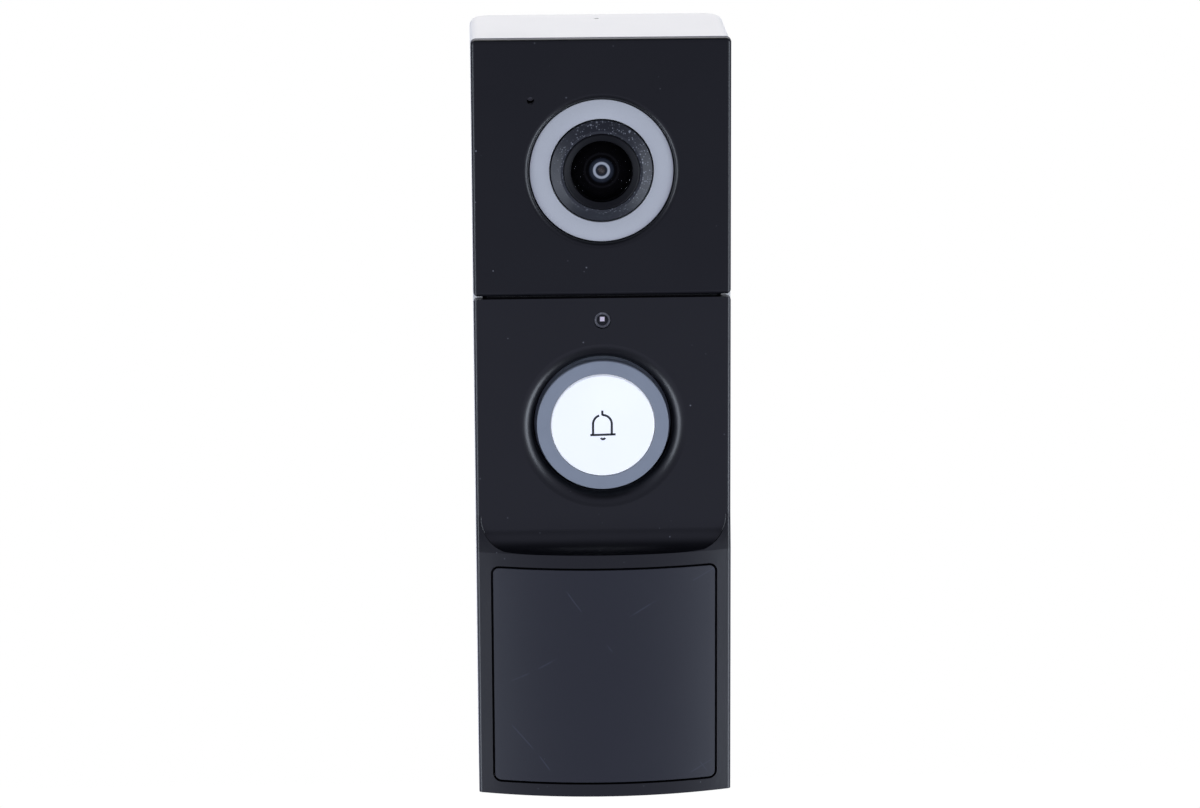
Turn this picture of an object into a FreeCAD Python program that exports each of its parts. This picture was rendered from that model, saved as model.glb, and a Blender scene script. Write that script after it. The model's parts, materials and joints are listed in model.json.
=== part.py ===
import FreeCAD, Part
import math
import os
from FreeCAD import Placement, Rotation, Vector

import Sketcher

# A battery video doorbell on its wall bracket.
# Frame: millimetres, +Z up, the wall is the plane Y = 0 and the front looks towards -Y.
# The origin is the centre of the two wall screws. "Depth" means the distance in front of
# the wall, so a point at depth d has Y = -d.

SIZES = [
    # outer body
    ("body_width", 50.0, "width of housing and covers"),
    ("body_height", 150.6, "height of housing and covers"),
    ("face_depth", 34.0, "flat front face, from the wall"),
    ("cover_plate", 2.0, "thickness of the front covers"),
    ("wall_gap", 0.4, "rear rim of the housing to the wall"),
    ("side_wall", 1.8, "side walls of the housing"),
    ("end_wall", 2.4, "top and bottom walls of the housing"),
    ("plan_corner", 4.0, "rear vertical corners of the housing"),
    ("end_round", 1.6, "rounding of the housing's top and bottom"),
    ("face_corner", 1.0, "upper corners of the covers seen from the front"),
    ("seam_corner", 0.85, "corners of both covers at the seam"),
    ("inner_corner", 1.0, "upright corners inside the housing"),
    ("edge_round", 0.8, "front edges of the covers"),
    ("part_line", 0.1, "gap between the housing rim and the covers"),
    # bracket recess
    ("recess_half", 22.4, "half width of the rear recess"),
    ("recess_top", 69.0, "height of the recess top above the origin"),
    ("recess_foot", 71.0, "depth of the recess foot below the origin"),
    ("recess_deep", 3.2, "rear rim to the recess floor"),
    ("floor_thick", 2.0, "thickness of the recess floor"),
    # wall bracket
    ("bracket_half", 19.0, "half width of the bracket"),
    ("bracket_top", 66.5, "top of the bracket above the origin"),
    ("bracket_foot", 68.6, "foot of the bracket below the origin"),
    ("bracket_thick", 2.4, "thickness of the bracket plate"),
    ("bracket_corner", 4.0, "corners of the bracket"),
    ("wall_pitch", 90.0, "distance between the wall screws"),
    ("wall_hole", 2.2, "radius of the wall screw holes"),
    ("cable_half", 13.0, "half width of the cable window"),
    ("cable_low", 9.0, "lower edge of the cable window"),
    ("cable_high", 35.0, "upper edge of the cable window"),
    ("hook_pitch", 24.0, "distance between the lower hooks"),
    ("hook_half", 2.5, "half width of a lower hook"),
    ("hook_level", 67.0, "underside of the hooks below the origin"),
    ("hook_thick", 1.6, "thickness of hooks and catch"),
    ("hook_rise", 2.0, "height of a hook's lip"),
    ("lip_thick", 1.4, "thickness of the lips"),
    ("catch_half", 3.0, "half width of the upper catch"),
    ("catch_level", 62.0, "underside of the catch above the origin"),
    ("catch_drop", 2.0, "height of the catch's lip"),
    ("catch_reach", 9.3, "front of the catch, from the wall"),
    ("slot_gap", 0.4, "clearance of slots round hooks and catch"),
    # release latch
    ("latch_bite", 1.4, "overlap of the latch nose and the catch"),
    ("latch_travel", 2.0, "travel of the latch"),
    ("latch_half", 6.5, "half width of the latch"),
    ("latch_leg", 2.2, "width of a latch leg"),
    ("latch_front", 9.2, "front of the latch, from the wall"),
    ("latch_gap", 0.3, "clearance round the latch"),
    ("nose_tall", 2.4, "height of the latch nose"),
    ("bar_tall", 2.6, "height of the bar under the nose"),
    ("pad_tall", 2.5, "height of the pushed pad"),
    ("rail_thick", 1.4, "thickness of the latch rails"),
    ("pin_hole", 0.5, "radius of the release pin hole"),
    ("pin_depth", 7.5, "release pin axis, from the wall"),
    ("coil_mean", 1.15, "mean radius of the latch spring"),
    ("coil_wire", 0.22, "wire radius of the latch spring"),
    ("coil_free", 6.0, "length of the latch spring"),
    # seam and case screws
    ("seam_level", 24.8, "middle of the seam between the covers"),
    ("seam_gap", 0.5, "width of the seam"),
    ("post_half", 20.3, "screw post axes from the middle"),
    ("post_high", 70.0, "upper screw posts above the origin"),
    ("post_mid", 12.5, "middle screw posts above the origin"),
    ("post_low", 67.5, "lower screw posts below the origin"),
    ("post_radius", 2.4, "radius of a screw post"),
    ("screw_shank", 1.0, "radius of a case screw"),
    ("screw_head", 1.8, "radius of a case screw's head"),
    ("screw_head_tall", 1.1, "height of a case screw's head"),
    ("screw_long", 8.0, "length of a case screw under the head"),
    ("screw_gap", 0.05, "clearance round a case screw"),
    ("driver_half", 0.6, "half width of the screw recess"),
    # front frame and seal
    ("frame_thick", 3.2, "thickness of the front frame"),
    ("seal_wide", 0.8, "width of the seal between frame and housing"),
    ("seal_tall", 1.4, "height of the seal"),
    # camera
    ("lens_level", 49.5, "camera axis above the origin"),
    ("ring_outer", 13.9, "outer radius of the trim ring"),
    ("ring_inner", 10.1, "inner radius of the trim ring"),
    ("ring_sink", 0.9, "trim ring behind the front face"),
    ("ring_thick", 1.3, "thickness of the trim ring"),
    ("ring_fit", 0.15, "gap round the trim ring"),
    ("rim_round", 1.1, "rounded rim of the camera recess"),
    ("cone_gap", 0.3, "dark gap inside the trim ring"),
    ("cone_rise", 1.3, "height of the camera cone"),
    ("cone_wall", 1.2, "thickness of the camera cone"),
    ("cone_flange", 13.5, "radius of the cone's flange"),
    ("barrel_radius", 7.3, "radius of the lens barrel"),
    ("barrel_fit", 0.15, "gap round the lens barrel"),
    ("barrel_long", 14.4, "length of the lens barrel"),
    ("barrel_front", 34.5, "front of the lens barrel, from the wall"),
    ("barrel_slope", 0.35, "slope of the barrel's front face"),
    ("glass_radius", 6.0, "radius of the front glass"),
    ("glass_curve", 9.5, "front curve of the front glass"),
    ("glass_thick", 1.3, "thickness of the front glass"),
    ("second_radius", 3.6, "radius of the second lens"),
    ("second_curve", 6.5, "front curve of the second lens"),
    ("iris_outer", 3.6, "outer radius of the aperture ring"),
    ("iris_inner", 1.2, "radius of the aperture"),
    ("rear_lens_radius", 3.2, "radius of the rear lens"),
    ("holder_half", 9.0, "half width of the lens holder"),
    ("sensor_half", 4.0, "half width of the image sensor"),
    ("camera_board_half", 15.0, "half width of the camera board"),
    ("camera_board_tall", 29.0, "height of the camera board"),
    ("board_thick", 1.0, "thickness of every circuit board"),
    ("front_board_half", 17.4, "half width of the front board"),
    ("front_board_low", 18.5, "lower edge of the front board below the camera axis"),
    ("front_board_high", 4.6, "upper edge of the front board above the microphone"),
    ("led_ring", 8.7, "radius of the ring of infrared lamps"),
    ("lamp_half", 0.9, "half width of an infrared lamp"),
    ("lamp_tall", 1.6, "height of an infrared lamp"),
    # microphone
    ("mic_offset", 13.6, "microphone hole left of the middle"),
    ("mic_level", 63.4, "microphone hole above the origin"),
    ("mic_hole", 0.72, "radius of the microphone hole"),
    ("boot_radius", 2.4, "radius of the microphone boot"),
    # button
    ("button_level", -1.0, "button axis above the origin"),
    ("bore_round", 2.8, "rounded rim of the button well"),
    ("well_wall", 4.6, "wall of the button well"),
    ("well_deep", 4.2, "front face to the rear of the well"),
    ("halo_wide", 2.65, "width of the light ring"),
    ("well_gap", 0.7, "gap between the light ring and its well"),
    ("flange_gap", 0.2, "gap between the light ring's flange and its well"),
    ("cap_radius", 10.15, "radius of the button cap"),
    ("cap_fit", 0.1, "running gap round the button cap"),
    ("cap_sink", 0.7, "button cap behind the front face"),
    ("cap_thick", 1.5, "thickness of the button cap"),
    ("cap_lip", 0.65, "width of the button cap's flange"),
    ("press_travel", 0.5, "travel of the button"),
    ("button_board_radius", 15.0, "radius of the button board"),
    ("button_board_back", 26.9, "rear of the button board, from the wall"),
    ("switch_half", 3.0, "half width of the button switch"),
    ("plunger_radius", 1.6, "radius of the switch plunger"),
    ("plunger_fit", 0.05, "running gap round the plunger"),
    ("window_level", 20.1, "light sensor window above the origin"),
    ("window_radius", 1.6, "radius of the light sensor window"),
    # scoop and convex lower section
    ("brow_level", -25.8, "upper edge of the convex section"),
    ("bow_depth", 39.2, "front of the convex section, from the wall"),
    ("bow_radius", 78.0, "radius of the convex section"),
    ("scoop_half", 24.15, "half width of the scoop"),
    ("scoop_corner", 6.5, "lower corners of the scoop"),
    ("scoop_cove", 4.1, "hollow along the foot of the scoop"),
    ("scoop_side_cove", 0.25, "hollow along the sides of the scoop"),
    ("rim_ease", 7.0, "run above the brow over which the scoop's rims sink to the face"),
    ("scoop_over", 2.0, "run of the scoop's cut past the cover"),
    ("shell_thick", 1.8, "thickness of the convex section"),
    # movement sensor
    ("panel_half", 21.8, "half width of the sensor panel"),
    ("panel_top", -28.85, "top of the sensor panel"),
    ("panel_foot", -72.35, "foot of the sensor panel"),
    ("panel_gap", 0.45, "gap round the sensor panel"),
    ("panel_corner", 1.2, "corners of the sensor panel"),
    ("panel_thick", 1.2, "thickness of the sensor panel"),
    ("pir_radius", 4.6, "radius of the movement sensor's can"),
    ("pir_tall", 4.2, "height of the movement sensor's can"),
    ("pir_board_half", 15.0, "half width of the movement sensor board"),
    ("pir_board_tall", 26.0, "height of the movement sensor board"),
    # power and main electronics
    ("cell_radius", 9.2, "radius of a battery cell"),
    ("cell_long", 65.2, "length of a battery cell"),
    ("cell_space", 0.6, "gap between the cells"),
    ("cell_foot", 60.0, "lower end of the cells below the origin"),
    ("tray_wall", 1.0, "wall of the battery tray"),
    ("tray_tall", 12.0, "height of the battery tray's walls"),
    ("main_board_half", 17.4, "half width of the main board"),
    ("main_board_low", 14.0, "lower edge of the main board"),
    ("main_board_high", 71.5, "upper edge of the main board"),
    ("main_board_back", 12.0, "rear of the main board, from the wall"),
    ("can_tall", 1.8, "height of the shield can"),
    # foot: port, reset, speaker
    ("port_centre", -10.0, "charging port from the middle"),
    ("port_half", 4.5, "half width of the charging port"),
    ("port_tall", 3.2, "thickness of the charging port"),
    ("port_depth", 12.4, "charging port axis, from the wall"),
    ("port_wall", 0.3, "sheet of the charging port"),
    ("port_long", 7.0, "length of the charging port"),
    ("flap_half", 6.5, "half width of the flap"),
    ("flap_deep", 7.6, "flap from its hinge to its free edge"),
    ("flap_thick", 1.1, "thickness of the flap"),
    ("flap_gap", 0.15, "gap round the flap"),
    ("hinge_depth", 8.4, "flap hinge axis, from the wall"),
    ("hinge_radius", 0.5, "radius of the flap's hinge pin"),
    ("reset_centre", 0.6, "reset button from the middle"),
    ("reset_radius", 1.1, "radius of the reset button"),
    ("reset_flange", 0.4, "width of the reset button's flange"),
    ("reset_fit", 0.1, "running gap round the reset button"),
    ("reset_travel", 0.4, "travel of the reset button"),
    ("speaker_low", 4.4, "left side of the speaker"),
    ("speaker_wide", 12.5, "width of the speaker"),
    ("speaker_deep", 14.0, "depth of the speaker"),
    ("speaker_tall", 4.2, "height of the speaker"),
    ("speaker_back", 9.5, "rear of the speaker, from the wall"),
    ("vent_wide", 1.1, "width of a speaker slot"),
    ("vent_long", 9.0, "length of a speaker slot"),
    # wiring terminals
    ("block_half", 8.5, "half width of the terminal block"),
    ("block_low", 17.5, "lower edge of the terminal block"),
    ("block_high", 26.5, "upper edge of the terminal block"),
    ("block_back", 5.2, "rear of the terminal block, from the wall"),
    ("terminal_half", 4.4, "terminal screw axes from the middle"),
    ("terminal_shank", 1.45, "radius of a terminal screw"),
    ("terminal_head", 2.7, "radius of a terminal screw's head"),
]

INFRARED_LAMPS = 6
HALO_LAMPS = 6
SPEAKER_SLOTS = 5
COIL_TURNS = 7

DOC = FreeCAD.newDocument("VideoDoorbell")
PIECES = []


class Dim:
    """A length that carries its number and the sheet expression behind it."""

    def __init__(self, text, value):
        self.text = text
        self.value = value

    def __add__(self, other):
        other = dim(other)
        return Dim(f"({self.text} + {other.text})", self.value + other.value)

    def __sub__(self, other):
        other = dim(other)
        return Dim(f"({self.text} - {other.text})", self.value - other.value)

    def __mul__(self, other):
        other = dim(other)
        return Dim(f"({self.text} * {other.text})", self.value * other.value)

    def __truediv__(self, other):
        other = dim(other)
        return Dim(f"({self.text} / {other.text})", self.value / other.value)

    def __neg__(self):
        return Dim(f"(0 - {self.text})", -self.value)

    def __radd__(self, other):
        return dim(other) + self

    def __rsub__(self, other):
        return dim(other) - self

    def __rmul__(self, other):
        return dim(other) * self

    def root(self):
        """The square root."""
        return Dim(f"sqrt({self.text})", math.sqrt(self.value))


def dim(value):
    """A Dim from a Dim or from a plain number."""
    if isinstance(value, Dim):
        return value
    return Dim(f"({float(value):.6f})", float(value))


class SizeSheet:
    """The spreadsheet of driving sizes, read back as Dims by name."""

    def __init__(self, rows):
        self.sheet = DOC.addObject("Spreadsheet::Sheet", "Sizes")
        self.names = {}
        for number, (alias, value, note) in enumerate(rows, start=1):
            self.sheet.set(f"A{number}", note)
            self.sheet.set(f"B{number}", str(value))
            self.sheet.setAlias(f"B{number}", alias)
            self.names[alias] = Dim(f"Sizes.{alias}", value)
        DOC.recompute()

    def __getattr__(self, alias):
        return self.names[alias]


S = SizeSheet(SIZES)

# planes that many pieces share
HALF_WIDTH = S.body_width / 2
HALF_HEIGHT = S.body_height / 2
COVER_BACK = S.face_depth - S.cover_plate
HOUSING_FRONT = COVER_BACK - S.part_line
RECESS_FLOOR = S.wall_gap + S.recess_deep
FLOOR_FRONT = RECESS_FLOOR + S.floor_thick
INNER_HALF = HALF_WIDTH - S.side_wall
INNER_TOP = HALF_HEIGHT - S.end_wall
FRAME_BACK = COVER_BACK - S.frame_thick
HALO_INNER = S.cap_radius + S.cap_fit
HALO_OUTER = HALO_INNER + S.halo_wide
BORE_RADIUS = HALO_OUTER + S.well_gap
HALO_FLANGE = BORE_RADIUS - S.flange_gap
CAP_FLANGE = S.cap_radius + S.cap_lip
SCREW_PLACES = [(side * S.post_half, level) for side in (-1, 1)
                for level in (S.post_high, S.post_mid, -S.post_low)]


# ---------------------------------------------------------------- building tools

def bind(item, prop, value):
    """Tie one property of a document object to the sheet."""
    item.setExpression(prop, dim(value).text)


def place(item, x=0, y=0, z=0, rotation=None):
    """Put an object at a point given in Dims."""
    item.Placement = Placement(Vector(0, 0, 0), rotation or Rotation())
    bind(item, "Placement.Base.x", x)
    bind(item, "Placement.Base.y", y)
    bind(item, "Placement.Base.z", z)


def box(x, depth, z):
    """A box between two values along each direction."""
    item = DOC.addObject("Part::Box", "Block")
    bind(item, "Length", dim(x[1]) - x[0])
    bind(item, "Width", dim(depth[1]) - depth[0])
    bind(item, "Height", dim(z[1]) - z[0])
    place(item, x[0], -dim(depth[1]), z[0])
    return item


def rod(axis, centre, radius, span):
    """A cylinder along "x", "depth" or "z" between the two values of span."""
    item = DOC.addObject("Part::Cylinder", "Rod")
    bind(item, "Radius", radius)
    bind(item, "Height", dim(span[1]) - span[0])
    if axis == "x":
        place(item, span[0], -dim(centre[0]), centre[1], Rotation(Vector(0, 1, 0), 90))
    elif axis == "depth":
        place(item, centre[0], -dim(span[0]), centre[1], Rotation(Vector(1, 0, 0), 90))
    else:
        place(item, centre[0], -dim(centre[1]), span[0])
    return item


def fuse(items):
    """Join several overlapping solids."""
    item = DOC.addObject("Part::MultiFuse", "Joined")
    item.Shapes = items
    item.Refine = True
    return item


def group(items):
    """Hold several separate solids as one object."""
    item = DOC.addObject("Part::Compound", "Group")
    item.Links = items
    return item


def cut(base, tools):
    """Take several solids away from a base."""
    item = DOC.addObject("Part::Cut", "Carved")
    item.Base = base
    item.Tool = tools[0] if len(tools) == 1 else group(tools)
    item.Refine = True
    return item


def common(first, second):
    """Keep what two solids share."""
    item = DOC.addObject("Part::Common", "Shared")
    item.Base = first
    item.Tool = second
    return item


def keep(item, label):
    """Give a finished sub-part its name."""
    item.Label = label
    PIECES.append(item)
    return item


def new_body(label):
    """An empty PartDesign body."""
    body = DOC.addObject("PartDesign::Body", "Body")
    body.Label = label
    return body


def new_sketch(body, role, offset):
    """A sketch on one of the body's own planes, moved along the plane's normal."""
    sketch = body.newObject("Sketcher::SketchObject", "Sketch")
    planes = {item.Role: item for item in body.Origin.OriginFeatures}
    sketch.AttachmentSupport = [(planes[role], "")]
    sketch.MapMode = "FlatFace"
    bind(sketch, "AttachmentOffset.Base.z", offset)
    return sketch


def arc_between(start, end, radius, side):
    """The shorter arc from start to end; side 1 has its centre on the left."""
    chord = end - start
    lift = math.sqrt(max(radius ** 2 - (chord.Length / 2) ** 2, 0))
    left = Vector(-chord.y, chord.x, 0).normalize()
    centre = (start + end) / 2 + left * (lift * side)
    first, last = (start, end) if side > 0 else (end, start)
    angles = [math.atan2(p.y - centre.y, p.x - centre.x) for p in (first, last)]
    circle = Part.Circle(centre, Vector(0, 0, 1), radius)
    return Part.ArcOfCircle(circle, angles[0], angles[1])


def draw(sketch, points, arcs=None):
    """A closed outline through points; arcs maps a side's number to (radius, side)."""
    arcs = arcs or {}
    spots = [Vector(dim(x).value, dim(y).value, 0) for x, y in points]
    ends = []
    for number, start in enumerate(spots):
        end = spots[(number + 1) % len(spots)]
        if number in arcs:
            radius, side = arcs[number]
            index = sketch.addGeometry(arc_between(start, end, dim(radius).value, side))
            ends.append((index, 1, 2) if side > 0 else (index, 2, 1))
            rule = sketch.addConstraint(Sketcher.Constraint("Radius", index, dim(radius).value))
            bind(sketch, f"Constraints[{rule}]", radius)
        else:
            index = sketch.addGeometry(Part.LineSegment(start, end))
            ends.append((index, 1, 2))
    for number, (x, y) in enumerate(points):
        index, first, _ = ends[number]
        before, _, last = ends[number - 1]
        sketch.addConstraint(Sketcher.Constraint("Coincident", before, last, index, first))
        for kind, value in (("DistanceX", dim(x)), ("DistanceY", dim(y))):
            rule = sketch.addConstraint(Sketcher.Constraint(kind, index, first, value.value))
            bind(sketch, f"Constraints[{rule}]", value)


def draw_rounded(sketch, x, z, corner):
    """A rectangle with four round corners."""
    low_x, high_x, low_z, high_z = dim(x[0]), dim(x[1]), dim(z[0]), dim(z[1])
    points = [(low_x + corner, low_z), (high_x - corner, low_z),
              (high_x, low_z + corner), (high_x, high_z - corner),
              (high_x - corner, high_z), (low_x + corner, high_z),
              (low_x, high_z - corner), (low_x, low_z + corner)]
    draw(sketch, points, {side: (corner, 1) for side in (1, 3, 5, 7)})


def draw_circle(sketch, centre, radius):
    """A full circle."""
    spot = Vector(dim(centre[0]).value, dim(centre[1]).value, 0)
    index = sketch.addGeometry(Part.Circle(spot, Vector(0, 0, 1), dim(radius).value))
    rules = (("Radius", (index,), radius), ("DistanceX", (index, 3), centre[0]),
             ("DistanceY", (index, 3), centre[1]))
    for kind, where, value in rules:
        rule = sketch.addConstraint(Sketcher.Constraint(kind, *where, dim(value).value))
        bind(sketch, f"Constraints[{rule}]", value)


def pad(body, sketch, length):
    """Raise a sketch along its plane's normal."""
    feature = body.newObject("PartDesign::Pad", "Pad")
    feature.Profile = sketch
    bind(feature, "Length", length)
    return feature


def pocket(body, sketch, length, forward=False):
    """Sink a sketch against its plane's normal, or along it when forward is set."""
    DOC.recompute()
    before = body.Shape.Volume
    feature = body.newObject("PartDesign::Pocket", "Pocket")
    feature.Profile = sketch
    feature.Reversed = forward
    bind(feature, "Length", length)
    DOC.recompute()
    if body.Shape.Volume >= before:
        raise ValueError(f"a pocket of {body.Label} cuts nothing")
    return feature


def plate(body, x, depth, z, corner):
    """A plate with round corners, seen from the front."""
    sketch = new_sketch(body, "XZ_Plane", depth[0])
    draw_rounded(sketch, x, z, corner)
    pad(body, sketch, dim(depth[1]) - depth[0])


def block(body, x, depth, z):
    """A plate with square corners, seen from the front."""
    sketch = new_sketch(body, "XZ_Plane", depth[0])
    draw(sketch, [(x[0], z[0]), (x[1], z[0]), (x[1], z[1]), (x[0], z[1])])
    pad(body, sketch, dim(depth[1]) - depth[0])


def sink_rounded(body, x, depth, z, corner):
    """A pocket with round corners between two depths."""
    sketch = new_sketch(body, "XZ_Plane", depth[1])
    draw_rounded(sketch, x, z, corner)
    pocket(body, sketch, dim(depth[1]) - depth[0])


def sink_rounds(body, centres, radius, depth):
    """Round holes between two depths."""
    sketch = new_sketch(body, "XZ_Plane", depth[1])
    for centre in centres:
        draw_circle(sketch, centre, radius)
    pocket(body, sketch, dim(depth[1]) - depth[0])


def round_edges(body, radius, wanted):
    """Fillet the edges of the body's shape that the test picks."""
    DOC.recompute()
    base = body.Tip
    names = [f"Edge{number}" for number, edge in enumerate(base.Shape.Edges, start=1)
             if wanted(edge)]
    feature = body.newObject("PartDesign::Fillet", "Fillet")
    feature.Base = (base, names)
    bind(feature, "Radius", radius)
    DOC.recompute()
    return feature


def turned(label, points, arcs=None, centre=(0, 0)):
    """A body of revolution about a depth axis; points are (radius, depth)."""
    body = new_body(label)
    sketch = new_sketch(body, "XY_Plane", 0)
    draw(sketch, [(radius, -dim(depth)) for radius, depth in points], arcs)
    feature = body.newObject("PartDesign::Revolution", "Revolution")
    feature.Profile = sketch
    feature.ReferenceAxis = (sketch, ["V_Axis"])
    feature.Angle = 360
    place(body, centre[0], 0, centre[1])
    return body


def is_level(edge, value, direction, tolerance=0.01):
    """Whether both ends of an edge lie at one value of x, y or z."""
    places = [getattr(vertex.Point, direction) for vertex in edge.Vertexes]
    return all(abs(spot - value) < tolerance for spot in places)


# ---------------------------------------------------------------- housing and bracket

def make_wall_bracket():
    """The plate on the wall: two screw holes, a cable window, two hooks and a catch."""
    body = new_body("bracket_plate")
    plate(body, (-S.bracket_half, S.bracket_half), (0, S.bracket_thick),
          (-S.bracket_foot, S.bracket_top), S.bracket_corner)
    sink_rounded(body, (-S.cable_half, S.cable_half), (0, S.bracket_thick),
                 (S.cable_low, S.cable_high), S.bracket_corner / 2)
    holes = [(0, S.wall_pitch / 2), (0, -S.wall_pitch / 2)]
    sink_rounds(body, holes, S.wall_hole, (0, S.bracket_thick))
    parts = [body]
    stem = (S.bracket_thick / 2, FLOOR_FRONT + S.slot_gap + S.lip_thick)
    lip = (FLOOR_FRONT + S.slot_gap, FLOOR_FRONT + S.slot_gap + S.lip_thick)
    shelf = -S.hook_level + S.hook_thick
    for side in (-1, 1):
        middle = side * S.hook_pitch / 2
        wide = (middle - S.hook_half, middle + S.hook_half)
        parts.append(box(wide, stem, (-S.hook_level, shelf)))
        parts.append(box(wide, lip, (-S.hook_level, shelf + S.hook_rise)))
    wide = (-S.catch_half, S.catch_half)
    top = S.catch_level + S.hook_thick
    parts.append(box(wide, (S.bracket_thick / 2, S.catch_reach), (S.catch_level, top)))
    parts.append(box(wide, (S.catch_reach - S.lip_thick, S.catch_reach),
                     (S.catch_level - S.catch_drop, top)))
    return keep(fuse(parts), "wall_bracket")


def housing_shell():
    """The housing's outer shell, open at the front, with its rear recess."""
    body = new_body("housing_shell")
    sketch = new_sketch(body, "XY_Plane", -HALF_HEIGHT)
    corner, back, front = S.plan_corner, -S.wall_gap, -HOUSING_FRONT
    points = [(-HALF_WIDTH, front), (HALF_WIDTH, front), (HALF_WIDTH, back - corner),
              (HALF_WIDTH - corner, back), (-HALF_WIDTH + corner, back),
              (-HALF_WIDTH, back - corner)]
    draw(sketch, points, {2: (corner, 1), 4: (corner, 1)})
    pad(body, sketch, S.body_height)
    half, rim = HALF_HEIGHT.value, -HOUSING_FRONT.value
    round_edges(body, S.end_round, lambda edge: is_level(edge, half, "z")
                and not is_level(edge, rim, "y") or is_level(edge, -half, "z")
                and not is_level(edge, rim, "y"))
    sink_rounded(body, (-INNER_HALF, INNER_HALF), (FLOOR_FRONT, HOUSING_FRONT),
                 (-INNER_TOP, INNER_TOP), S.inner_corner)
    sink_rounded(body, (-S.recess_half, S.recess_half), (0, RECESS_FLOOR),
                 (-S.recess_foot, S.recess_top), S.bracket_corner)
    return body


def latch_rails():
    """Rails and shelf on the housing floor that guide the latch and hold its spring."""
    shelf = latch_bar_foot() - S.coil_free
    inner = S.latch_half + S.latch_gap
    outer = inner + S.rail_thick
    span = (FLOOR_FRONT - S.floor_thick / 2, S.latch_front + S.latch_gap)
    rails = [box((side * middle - S.rail_thick / 2, side * middle + S.rail_thick / 2), span,
                 (shelf - S.rail_thick, INNER_TOP + S.end_wall / 2))
             for side in (-1, 1) for middle in [(inner + outer) / 2]]
    rails.append(box((-outer, outer), span, (shelf - S.rail_thick, shelf)))
    return rails


def make_rear_housing():
    """The white rear housing, drilled for screws, hooks, catch, pin, port and speaker."""
    raised = fuse([housing_shell()] + latch_rails())
    past = (RECESS_FLOOR - 1, FLOOR_FRONT + 0.5)
    gap = S.slot_gap
    tools = []
    for side in (-1, 1):
        middle = side * S.hook_pitch / 2
        wide = (middle - S.hook_half - gap, middle + S.hook_half + gap)
        shelf = -S.hook_level + S.hook_thick
        tools.append(box(wide, past, (-S.hook_level - S.hook_rise - gap, shelf + gap / 4)))
    tools.append(box((-S.catch_half - gap, S.catch_half + gap), past,
                     (S.catch_level - S.catch_drop - gap, S.catch_level + S.hook_thick + gap)))
    tools.append(box((-S.block_half - gap / 2, S.block_half + gap / 2), past,
                     (S.block_low - gap / 2, S.block_high + gap / 2)))
    for spot in SCREW_PLACES:
        tools.append(rod("depth", spot, S.screw_shank + S.screw_gap, past))
        tools.append(rod("depth", spot, S.screw_head + S.screw_gap * 2,
                         (RECESS_FLOOR - 1, RECESS_FLOOR + S.screw_head_tall)))
    tools.append(rod("z", (0, S.pin_depth), S.pin_hole, (INNER_TOP - 0.5, HALF_HEIGHT + 1)))
    tools += foot_openings()
    return keep(cut(raised, tools), "rear_housing")


def foot_openings():
    """Openings in the housing's foot: flap recess, port, reset hole, speaker slots."""
    low = -HALF_HEIGHT
    inside = -INNER_TOP + 0.5
    gap = S.flap_gap
    hinge = (S.hinge_depth, low + S.flap_thick / 2)
    centre = S.port_centre
    wide = (centre - S.flap_half - gap, centre + S.flap_half + gap)
    shallow = low + S.flap_thick + gap
    tools = [box(wide, (S.hinge_depth - S.flap_thick / 2 - gap, S.hinge_depth + S.flap_deep + gap),
                 (low - 1, shallow))]
    tools.append(rod("x", hinge, S.hinge_radius + 0.05,
                     (wide[0] - 1, wide[1] + 1)))
    tools.append(box((centre - S.port_half, centre + S.port_half),
                     (S.port_depth - S.port_tall / 2, S.port_depth + S.port_tall / 2),
                     (low, inside)))
    tools.append(rod("z", (S.reset_centre, S.port_depth), S.reset_radius + S.reset_fit,
                     (low - 1, inside)))
    for number in range(SPEAKER_SLOTS):
        middle = S.speaker_low + S.speaker_wide * (number + 1) / (SPEAKER_SLOTS + 1)
        start = S.speaker_back + (S.speaker_deep - S.vent_long) / 2
        tools.append(box((middle - S.vent_wide / 2, middle + S.vent_wide / 2),
                         (start, start + S.vent_long), (low - 1, inside)))
    return tools


def make_housing_seal():
    """The rubber ring between the front frame and the housing wall."""
    depth = (FRAME_BACK + S.frame_thick / 2 - S.seal_tall / 2,
             FRAME_BACK + S.frame_thick / 2 + S.seal_tall / 2)
    outer = new_body("seal_outside")
    corner = S.inner_corner
    plate(outer, (-INNER_HALF, INNER_HALF), depth, (-INNER_TOP, INNER_TOP), corner)
    half, top = INNER_HALF - S.seal_wide, INNER_TOP - S.seal_wide
    sink_rounded(outer, (-half, half), depth, (-top, top), corner)
    return keep(outer, "housing_seal")


def make_case_screws():
    """Six screws from the recess floor into the front frame's posts."""
    screws = []
    for x, z in SCREW_PLACES:
        head = rod("depth", (x, z), S.screw_head,
                   (RECESS_FLOOR + 0.05, RECESS_FLOOR + S.screw_head_tall))
        shank = rod("depth", (x, z), S.screw_shank,
                    (RECESS_FLOOR + S.screw_head_tall - 0.2,
                     RECESS_FLOOR + S.screw_head_tall + S.screw_long))
        bars = [box((x - S.driver_half, x + S.driver_half), (RECESS_FLOOR - 1, RECESS_FLOOR + 0.7),
                    (z - S.driver_half / 3, z + S.driver_half / 3)),
                box((x - S.driver_half / 3, x + S.driver_half / 3),
                    (RECESS_FLOOR - 1, RECESS_FLOOR + 0.7), (z - S.driver_half, z + S.driver_half))]
        screws.append(cut(fuse([head, shank]), [fuse(bars)]))
    return keep(group(screws), "case_screws")


# ---------------------------------------------------------------- release latch

def latch_nose_top():
    """Level of the latch nose, which bites behind the catch's lip."""
    return S.catch_level - S.catch_drop + S.latch_bite


def latch_bar_foot():
    """Level of the latch's lower edge."""
    return latch_nose_top() - S.nose_tall - S.bar_tall


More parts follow.
